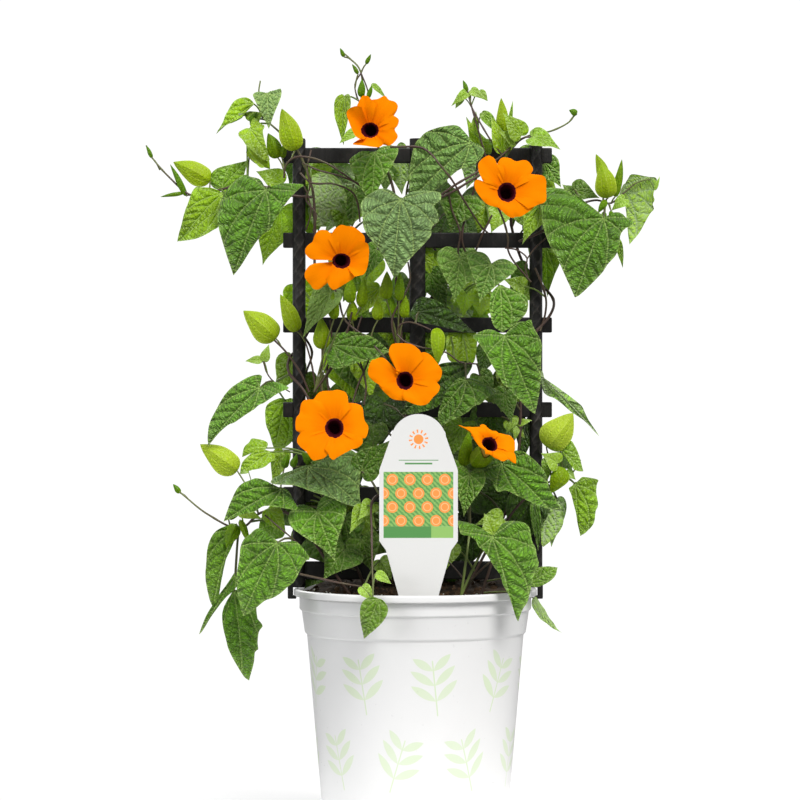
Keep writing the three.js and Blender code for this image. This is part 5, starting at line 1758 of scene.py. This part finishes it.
def rim_clip(side):
    """The hook that snaps over the pot's lip, as three rounded blocks."""
    rim, _, height = node_box("pot")[1]
    blocks = [
        ((rim + 0.6, -4, height - 7.2), (rim + 4.2, 4, height + 4.2)),
        ((rim - 1.6, -4, height - 7.2), (rim + 3.6, 4, height - 5.0)),
        ((79, -4, height + 0.6), (rim + 3.6, 4, height + 4.2)),
    ]
    return [soft_block(np.array(a) * (side, 1, 1), np.array(b) * (side, 1, 1)) for a, b in blocks]


def soft_block(a, b):
    """A block with rounded edges: a globe whose cosines and sines are raised to a small power."""
    rise, turn = np.linspace(-np.pi / 2, np.pi / 2, 17)[:, None], round_turn(32)
    level = soft(np.cos(rise), EDGE_POWER)
    x, y = level * soft(np.cos(turn), EDGE_POWER), level * soft(np.sin(turn), EDGE_POWER)
    return globe((a + b) / 2 + joined(x, y, soft(np.sin(rise), EDGE_POWER)) * np.abs(b - a) / 2)


def trellis_finish(look):
    """Near-black plastic with a drawn, woody grain, a few dusty scuffs, and a painted highlight on the
    front's raised strands.
    """
    finish = Finish("trellis_plastic", 0.42, 0.35)
    x, y, z = finish.split(finish.place())
    grain = finish.noise(finish.vector(x * 420, y * 420, z * 60), 1, 4, 0.6)
    dust_and_highlight_noise = finish.noise(finish.place(), 120, 4, 0.65)
    # Dust in scattered patches, and a painted highlight along the raised strands of the front, broken up by
    # the same noise
    dust_and_ridge_highlight = clamp(ramp(dust_and_highlight_noise, 0.55, 0.8) * 0.35 + finish.mark("ridge") ** 2 * ramp(dust_and_highlight_noise, 0.3, 0.65))
    finish.set("Base Color", finish.mix(dust_and_ridge_highlight, look.trellis, look.trellis_dust_and_highlight))
    finish.set("Roughness", 0.36 + 0.25 * grain)
    finish.bump(grain, 0.35)
    return finish.material


# ---------------------------------------------------------------- label


LABEL_THICKNESS = 0.9
LABEL_MIDDLE = 1.8
LABEL_FOOT, LABEL_NECK, LABEL_TOP = 130, 194.2, 283.6
PANEL_FOOT, PANEL_TOP = 200.2, 246.8
LABEL_SHOULDER = 271.4  # where the round top starts
PANEL_HALF = 25.8
TOP_RADIUS = 18.2
PRINT_ZERO = 200  # the height that the print is laid out from


def label_half_width(z):
    """Half the label's width at a height: a taper from its point, a square panel, and a round top."""
    heights = (LABEL_FOOT, LABEL_NECK, PANEL_FOOT, PANEL_TOP, 269.9)
    straight = np.interp(z, heights, (3.5, 21.5, PANEL_HALF, PANEL_HALF, 17.6))
    rise = np.maximum(z - (LABEL_TOP - TOP_RADIUS), 0)
    return np.where(z > LABEL_SHOULDER, np.sqrt(np.maximum(TOP_RADIUS**2 - rise**2, 0)), straight)


def label():
    """A flat plate whose half width is label_half_width(z)."""
    low, high = node_box("plant_tag")
    arc = LABEL_TOP - TOP_RADIUS + TOP_RADIUS * np.sin(np.linspace(0.34, np.pi / 2 - 0.03, 16))
    stretches = ((LABEL_FOOT, LABEL_NECK, 12), (PANEL_FOOT, PANEL_TOP, 14), (252, LABEL_SHOULDER, 8))
    z = np.concatenate([*(np.linspace(*stretch) for stretch in stretches), arc[1:], [LABEL_TOP]])[:, None]
    x = np.maximum(label_half_width(z), 0.35) * np.linspace(-1, 1, 25)
    middle = (low[1] + high[1]) / 2
    top, bottom = (joined(x + LABEL_MIDDLE, middle + side * LABEL_THICKNESS / 2, z) for side in (-1, 1))
    return slab(top, bottom, joined(x, z - PRINT_ZERO) * MM)


def between(value, low, high):
    """1 from `low` to `high` and 0 elsewhere, in millimetres, with a narrow slope at either end."""
    return ramp(value, low - 0.1, low + 0.1) * ramp(value, high + 0.1, high - 0.1)


def label_finish(look):
    """White printed plastic: a sun sign, two plain rules, a panel of orange discs on green, a green foot."""
    finish = Finish("label_plastic", 0.32, 0.5)
    x, z = finish.uv()
    _, y, _ = finish.split(finish.place())
    x, z = x * 1000, z * 1000
    front = ramp(y, -0.0679, -0.0681)
    panel = between(x, -23, 22.8) * between(z, 9.8, 45.6)
    foot = between(x, -23, 22.8) * between(z, 2.2, 9.8)
    dark_foot = foot * ramp(x, 8.4, 8.2)
    row = z / 9
    column = x / 11.5 + 0.5 * np.remainder(np.floor(row), 2)
    p, q = (np.remainder(column, 1) - 0.5) * 11.5, (np.remainder(row, 1) - 0.5) * 9
    reach = np.sqrt(p * p + q * q)
    disc = ramp(reach, 3.9, 3.7)
    ring = between(reach, 2.2, 2.7)
    leaves = finish.noise(finish.vector(x, z), 0.6, 3, 0.6)
    stripe = 0.5 + 0.5 * np.sin((x + z) * 1.9 + leaves * 6)
    green = finish.mix(stripe, look.print_green, look.print_lime)
    picture = finish.mix(disc, green, finish.mix(ring, look.print_orange, look.print_peach))
    colour = finish.mix(panel * front, look.label, picture)
    colour = finish.mix(foot * front, colour, look.print_lime)
    colour = finish.mix(dark_foot * front, colour, look.print_green)
    rise = z - 67
    around = np.sqrt(x * x + rise * rise)
    spokes = ramp(np.sin(np.arctan2(rise, x) * 12), 0.3, 0.5)
    sun = ramp(around, 3.3, 3.1) + between(around, 4.2, 6.4) * spokes
    rules = between(z, 53, 53.5) * between(x, -13, 13) + between(z, 50.5, 51.6) * between(x, -9, 9)
    colour = finish.mix(clamp(sun) * front, colour, look.print_orange)
    finish.set("Base Color", finish.mix(clamp(rules) * front, colour, look.print_green))
    finish.bump(finish.noise(finish.place(), 500, 2), 0.03)
    return finish.material


# ---------------------------------------------------------------- stage


WHITE = (1.0, 1.0, 1.0)


def floor_finish(look):
    """Pale floor that brightens to plain white away from the pot."""
    finish = Finish("floor", 0.8, 0)
    x, y, _ = finish.split(finish.place())
    reach = np.sqrt(x * x + y * y)
    away = ramp(reach, 0.12, 0.34)
    finish.set("Base Color", finish.mix(away, look.floor, (0, 0, 0)))
    seen = Field(finish.tree, finish.feed("ShaderNodeLightPath", {}, "Is Camera Ray"))
    finish.set("Emission Color", WHITE)
    finish.set("Emission Strength", away * (0.35 + 0.7 * seen))
    return finish.material


def add_light(name, kind, energy, place, aim, size, colour):
    light = bpy.data.lights.new(name, kind)
    light.energy = energy
    light.color = colour
    if kind == "AREA":
        light.shape = "DISK"
        light.size = size
    else:
        light.angle = size
    lamp = bpy.data.objects.new(name, light)
    bpy.context.scene.collection.objects.link(lamp)
    lamp.location = place
    lamp.rotation_euler = (Vector(place) - Vector(aim)).to_track_quat("Z", "Y").to_euler()
    return lamp


# ---------------------------------------------------------------- settings


def colour_setting(name, description, default):
    return bpy.props.FloatVectorProperty(
        name=name, description=description, subtype="COLOR", size=3, min=0.0, max=1.0, default=default
    )


class PottedVineSettings(bpy.types.PropertyGroup):
    """Sizes and colours that can be changed before the pieces are made."""

    mature_leaf: colour_setting("Mature leaf", "Upper side of a grown leaf", (0.17, 0.42, 0.012))
    young_leaf: colour_setting("Young leaf", "Upper side of a young leaf", (0.47, 0.68, 0.0))
    vein: colour_setting("Vein", "Veins of a leaf", (0.46, 0.64, 0.17))
    # painted sheen: the greyish colour that stands in for the lamps' reflection on some grown leaves
    painted_sheen: colour_setting("Bloom", "Greyish upper side of some grown leaves", (0.25, 0.36, 0.17))
    underside: colour_setting("Underside", "Lower side of a leaf", (0.42, 0.54, 0.27))
    glow: colour_setting("Leaf glow", "Light that comes through a leaf", (0.45, 0.7, 0.0))
    glow_share: bpy.props.FloatProperty(
        name="Leaf glow share",
        description="Share of light that passes through a leaf",
        min=0,
        max=1,
        default=0.22,
        subtype="FACTOR",
    )
    relief: bpy.props.FloatProperty(
        name="Leaf relief",
        description="Depth of the fine net on a leaf, in millimetres",
        min=0,
        max=8,
        default=4.6,
    )
    stem: colour_setting("Stem", "Bark of a climbing stem", (0.06, 0.034, 0.024))
    young_stem: colour_setting("Young stem", "Skin of a young shoot", (0.16, 0.22, 0.05))
    bract: colour_setting("Bract", "Lime bract", (0.38, 0.55, 0.0))
    bract_green: colour_setting("Bract, green", "Bract of a greener bud", (0.13, 0.3, 0.0))
    bract_rib: colour_setting("Bract rib", "Ribs of a bract", (0.6, 0.74, 0.08))
    petal: colour_setting("Petal", "Petal away from the throat", (0.86, 0.225, 0.0))
    petal_base: colour_setting("Petal base", "Petal beside the throat", (0.88, 0.185, 0.0))
    tube: colour_setting("Flower tube", "Outside of a flower's tube", (0.5, 0.3, 0.05))
    throat: colour_setting("Throat", "Inside of a flower's tube", (0.022, 0.002, 0.004))
    throat_rim: colour_setting("Throat rim", "Lighter patches in a flower's tube", (0.07, 0.006, 0.012))
    pot: colour_setting("Pot", "The pot's plastic", (0.665, 0.665, 0.667))
    pot_print: colour_setting("Pot print", "Sprigs printed on the pot", (0.5, 0.63, 0.36))
    soil: colour_setting("Potting mix", "Dark part of the mix", (0.012, 0.008, 0.005))
    soil_light: colour_setting("Potting mix, light", "Light part of the mix", (0.06, 0.035, 0.018))
    trellis: colour_setting("Trellis", "The trellis' plastic", (0.005, 0.0045, 0.004))
    # the colour of the dusty scuffs and of the painted highlight on the raised strands
    trellis_dust_and_highlight: colour_setting("Trellis dust", "Scuffs on the trellis", (0.075, 0.065, 0.058))
    label: colour_setting("Label", "The label's plastic", (0.637, 0.637, 0.628))
    print_green: colour_setting("Print, green", "Dark green ink", (0.08, 0.25, 0.07))
    print_lime: colour_setting("Print, lime", "Light green ink", (0.25, 0.45, 0.12))
    print_orange: colour_setting("Print, orange", "Orange ink", (0.85, 0.27, 0.06))
    print_peach: colour_setting("Print, peach", "Peach ink", (0.95, 0.5, 0.25))
    floor: colour_setting("Floor", "The studio floor", (0.86, 0.86, 0.86))


def settings():
    return bpy.context.scene.potted_vine


# ---------------------------------------------------------------- operators


LENS = 132.35
SENSOR_WIDTH = 36.0
FLOOR_RADIUS = 9000
SKY_LEVEL = 0.5  # soft light from level with the plant
SKY_RISE = 0.45  # how much stronger it is from straight above, and weaker from below
SKY_BACK = 0.25  # how much stronger it is from straight behind, and weaker from the front
BACKDROP_LEVEL = 1.05
CRUMB_SEED = 7
SPREAD_SEED = 21
FIRST_FLOWER_SEED = 40
SEEDS_PER_GROUP = 100  # every small leaf has a seed of its own


class VINE_OT_stage(bpy.types.Operator):
    """Adds the camera, the soft studio light and a plain pale floor"""

    bl_idname = "vine.stage"
    bl_label = "Stage"

    def execute(self, context):
        camera = bpy.data.objects.new("camera", bpy.data.cameras.new("camera"))
        camera.data.lens = LENS
        camera.data.sensor_width = SENSOR_WIDTH
        camera.location = Vector(CAMERA_PLACE) * MM
        camera.rotation_euler = (np.pi / 2, 0, 0)
        context.scene.collection.objects.link(camera)
        context.scene.camera = camera
        context.scene.view_settings.view_transform = "Standard"
        self.add_world(context)
        self.add_lights()
        reach, turn = np.linspace(0, 1, 40)[:, None] ** 2 * FLOOR_RADIUS, round_turn(96)
        rings = joined(reach * np.cos(turn), reach * np.sin(turn), -0.02)
        under = rings[::-1] - (0, 0, 5)
        floor = bpy.data.objects.new("floor", mesh_of("floor", [globe(np.concatenate([rings, under]))], 60))
        context.scene.collection.objects.link(floor)
        floor.data.materials.append(floor_finish(settings()))
        floor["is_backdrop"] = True
        return {"FINISHED"}

    def add_world(self, context):
        """Soft light from above and behind, and a white backdrop that only the camera sees."""
        world = bpy.data.worlds.new("studio")
        world.use_nodes = True
        context.scene.world = world
        tree = world.node_tree
        direction = tree.nodes.new("ShaderNodeSeparateXYZ")
        plug(tree, tree.nodes.new("ShaderNodeTexCoord").outputs["Generated"], direction.inputs[0])
        back, rise = (Field(tree, direction.outputs[axis]) for axis in "YZ")
        blend = tree.nodes.new("ShaderNodeMixShader")
        plug(tree, tree.nodes.new("ShaderNodeLightPath").outputs["Is Camera Ray"], blend.inputs[0])
        sky, backdrop = tree.nodes["Background"], tree.nodes.new("ShaderNodeBackground")
        plug(tree, SKY_LEVEL + SKY_RISE * rise + SKY_BACK * back, sky.inputs["Strength"])
        plug(tree, BACKDROP_LEVEL, backdrop.inputs["Strength"])
        for slot, background in enumerate((sky, backdrop), 1):
            plug(tree, WHITE, background.inputs["Color"])
            plug(tree, background.outputs[0], blend.inputs[slot])
        plug(tree, blend.outputs[0], tree.nodes["World Output"].inputs[0])

    def add_lights(self):
        """A low warm key from the front right, a cooler fill from the left, and a light from behind."""
        middle = (0, 0, 0.3)
        add_light("key", "SUN", 3.6, (0.55, -1.0, 1.45), middle, np.radians(28), (1.0, 0.99, 0.97))
        add_light("fill", "AREA", 9.0, (-1.3, -1.1, 0.6), middle, 0.8, (0.97, 0.985, 1.0))
        add_light("back", "AREA", 10.0, (-0.6, 1.4, 1.2), middle, 1.0, (1, 1, 1))


class VINE_OT_pot(bpy.types.Operator):
    """Adds the pot with its stepped rim and drain holes"""

    bl_idname = "vine.pot"
    bl_label = "Pot"

    def execute(self, context):
        piece = add_piece(
            "pot_shell", [lathe(pot_profile(), POT_SIDES)], pot_finish(settings()), "pot_plastic", ["pot"], 35
        )
        self.drill(context, piece)
        return {"FINISHED"}

    def drill(self, context, piece):
        """Cuts the drain holes through the floor with one boolean."""
        rod = lathe([(0, -6), (DRAIN_RADIUS, -6), (DRAIN_RADIUS, 6), (0, 6)], 24)
        turn = 2 * np.pi * (np.arange(DRAIN_HOLES) + 0.5) / DRAIN_HOLES
        places = joined(DRAIN_CIRCLE * np.cos(turn), DRAIN_CIRCLE * np.sin(turn), 0)
        rods = [rod._replace(points=rod.points + place) for place in places]
        cutter = bpy.data.objects.new("drain_cutter", mesh_of("drain_cutter", rods, 35))
        context.scene.collection.objects.link(cutter)
        cut = piece.modifiers.new("drain", "BOOLEAN")
        cut.operation = "DIFFERENCE"
        cut.object = cutter
        context.view_layer.update()
        evaluated = piece.evaluated_get(context.evaluated_depsgraph_get())
        piece.data = bpy.data.meshes.new_from_object(evaluated)
        piece.modifiers.clear()
        bpy.data.objects.remove(cutter)


class VINE_OT_soil(bpy.types.Operator):
    """Adds the potting mix with its bark and perlite"""

    bl_idname = "vine.soil"
    bl_label = "Potting mix"

    def execute(self, context):
        look = settings()
        rng = np.random.default_rng(CRUMB_SEED)
        add_piece("soil_surface", [soil()], soil_finish(look), "potting_mix", ["potting_soil"], 60)
        bark = crumb_finish("bark", (0.03, 0.016, 0.008), (0.12, 0.07, 0.035))
        add_piece("bark_crumbs", crumbs(420, 1.9, 0.35, rng), bark, "potting_mix", crease=30)
        perlite = crumb_finish("perlite", (0.6, 0.58, 0.52), (0.85, 0.84, 0.8))
        add_piece("perlite_crumbs", crumbs(60, 0.8, 0.8, rng), perlite, "potting_mix", crease=30)
        return {"FINISHED"}


class VINE_OT_trellis(bpy.types.Operator):
    """Adds the trellis' posts, crossbars and rim clips"""

    bl_idname = "vine.trellis"
    bl_label = "Trellis"

    def execute(self, context):
        finish = trellis_finish(settings())
        for side in ("left", "middle", "right"):
            node = f"trellis_post_{side}"
            skins = [post(node)]
            if side != "middle":
                skins += rim_clip(-1 if side == "left" else 1)
            add_piece(f"post_{side}", skins, finish, "trellis_plastic", [node], 60)
        bars = [f"trellis_crossbar_{i}" for i in range(1, 6)] + ["trellis_base_bar"]
        for node in bars:
            add_piece(node.replace("trellis_", ""), [bar(node)], finish, "trellis_plastic", [node], 60)
        return {"FINISHED"}


class VINE_OT_label(bpy.types.Operator):
    """Adds the plant label"""

    bl_idname = "vine.label"
    bl_label = "Label"

    def execute(self, context):
        add_piece("label", [label()], label_finish(settings()), "tag_plastic", ["plant_tag"], 40)
        return {"FINISHED"}


class VINE_OT_stems(bpy.types.Operator):
    """Adds the climbing stems"""

    bl_idname = "vine.stems"
    bl_label = "Stems"

    def execute(self, context):
        finish = stem_finish(settings())
        for name, path in STEM_PATHS.items():
            run = np.linspace(0, 1, len(path))
            skin = tube(path, stem_radius(len(path)), 10, young=np.clip(run * 2.2 - 1.5, 0, 1))
            add_piece(name.replace("vine", "stem"), [skin], finish, "stem", [name])
        shoots = []
        for (radius, *_), path in zip(SHOOTS, SHOOT_PATHS):
            young = PALE_YOUTH if radius > PALE_RADIUS else SHOOT_YOUTH
            shoots.append(tube(path, stem_radius(len(path), radius, 0.8 * radius), 8, young=young))
        add_piece("shoots", shoots, finish, "stem")
        return {"FINISHED"}


class VINE_OT_leaves(bpy.types.Operator):
    """Adds the leaves with their stalks"""

    bl_idname = "vine.leaves"
    bl_label = "Leaves"

    def execute(self, context):
        finish = leaf_finish(settings())
        for seed, (name, leaf) in enumerate(LEAVES.items()):
            slot = "young_leaf" if leaf.young > 0.25 else "mature_leaf"
            skins = whole_leaf(leaf, seed, leaf.width >= FINE_WIDTH)
            add_piece(f"blade_{name}", skins, finish, slot, [f"leaf_{name}"], 75)
        return {"FINISHED"}


class VINE_OT_small_leaves(bpy.types.Operator):
    """Adds the small leaves, and those that fill the plant out behind"""

    bl_idname = "vine.small_leaves"
    bl_label = "Small leaves"

    def execute(self, context):
        finish = leaf_finish(settings())
        behind = spread_leaves(np.random.default_rng(SPREAD_SEED))
        groups = {
            **{name: [Leaf(*row) for row in rows] for name, rows in SMALL_LEAVES.items()},
            "leaves_between": [Leaf(*in_view(row[:2]), *row[2:]) for row in VIEW_LEAVES],
            "leaves_outer": traced_leaves(),
            "leaves_behind_upper": [leaf for leaf in behind if leaf.base[2] >= SPREAD_SPLIT],
            "leaves_behind_lower": [leaf for leaf in behind if leaf.base[2] < SPREAD_SPLIT],
        }
        for order, (name, leaves) in enumerate(groups.items(), 1):
            skins = []
            for i, leaf in enumerate(leaves):
                skins += whole_leaf(leaf, SEEDS_PER_GROUP * order + i)
            add_piece(name, skins, finish, "young_leaf" if "upper" in name else "mature_leaf", crease=75)
        return {"FINISHED"}


class VINE_OT_buds(bpy.types.Operator):
    """Adds the unopened buds in their bracts"""

    bl_idname = "vine.buds"
    bl_label = "Buds"

    def execute(self, context):
        skins = [skin for row in all_buds() for skin in bud(row)]
        add_piece("buds", skins, bract_finish(settings()), "young_leaf")
        return {"FINISHED"}


class VINE_OT_flowers(bpy.types.Operator):
    """Adds the open flowers and the bracts that hold them"""

    bl_idname = "vine.flowers"
    bl_label = "Flowers"

    def execute(self, context):
        finish = petal_finish(settings())
        for seed, (node, flower) in enumerate(FLOWERS.items()):
            skins = corolla(flower, FIRST_FLOWER_SEED + seed)
            add_piece(node.replace("flower", "corolla"), skins, finish, "petal", [node], 60)
        holders = [skin for flower in FLOWERS.values() for skin in flower_holder(flower)]
        add_piece("flower_bracts", holders, bract_finish(settings()), "young_leaf")
        return {"FINISHED"}


OPERATORS = (
    VINE_OT_stage,
    VINE_OT_pot,
    VINE_OT_soil,
    VINE_OT_trellis,
    VINE_OT_label,
    VINE_OT_stems,
    VINE_OT_leaves,
    VINE_OT_small_leaves,
    VINE_OT_buds,
    VINE_OT_flowers,
)


class VINE_PT_panel(bpy.types.Panel):
    """Lists the pieces and their settings"""

    bl_idname = "VINE_PT_panel"
    bl_label = "Potted Vine"
    bl_space_type = "VIEW_3D"
    bl_region_type = "UI"
    bl_category = "Potted Vine"

    def draw(self, context):
        column = self.layout.column(align=True)
        for operator in OPERATORS:
            column.operator(operator.bl_idname)
        for name in PottedVineSettings.__annotations__:
            self.layout.prop(context.scene.potted_vine, name)


CLASSES = (PottedVineSettings, *OPERATORS, VINE_PT_panel)


def register():
    for kind in CLASSES:
        bpy.utils.register_class(kind)
    bpy.types.Scene.potted_vine = bpy.props.PointerProperty(type=PottedVineSettings)


def unregister():
    del bpy.types.Scene.potted_vine
    for kind in reversed(CLASSES):
        bpy.utils.unregister_class(kind)


def main():
    register()
    for operator in OPERATORS:
        group, name = operator.bl_idname.split(".")
        getattr(getattr(bpy.ops, group), name)()
    bpy.context.view_layer.update()


if __name__ == "__main__":
    main()
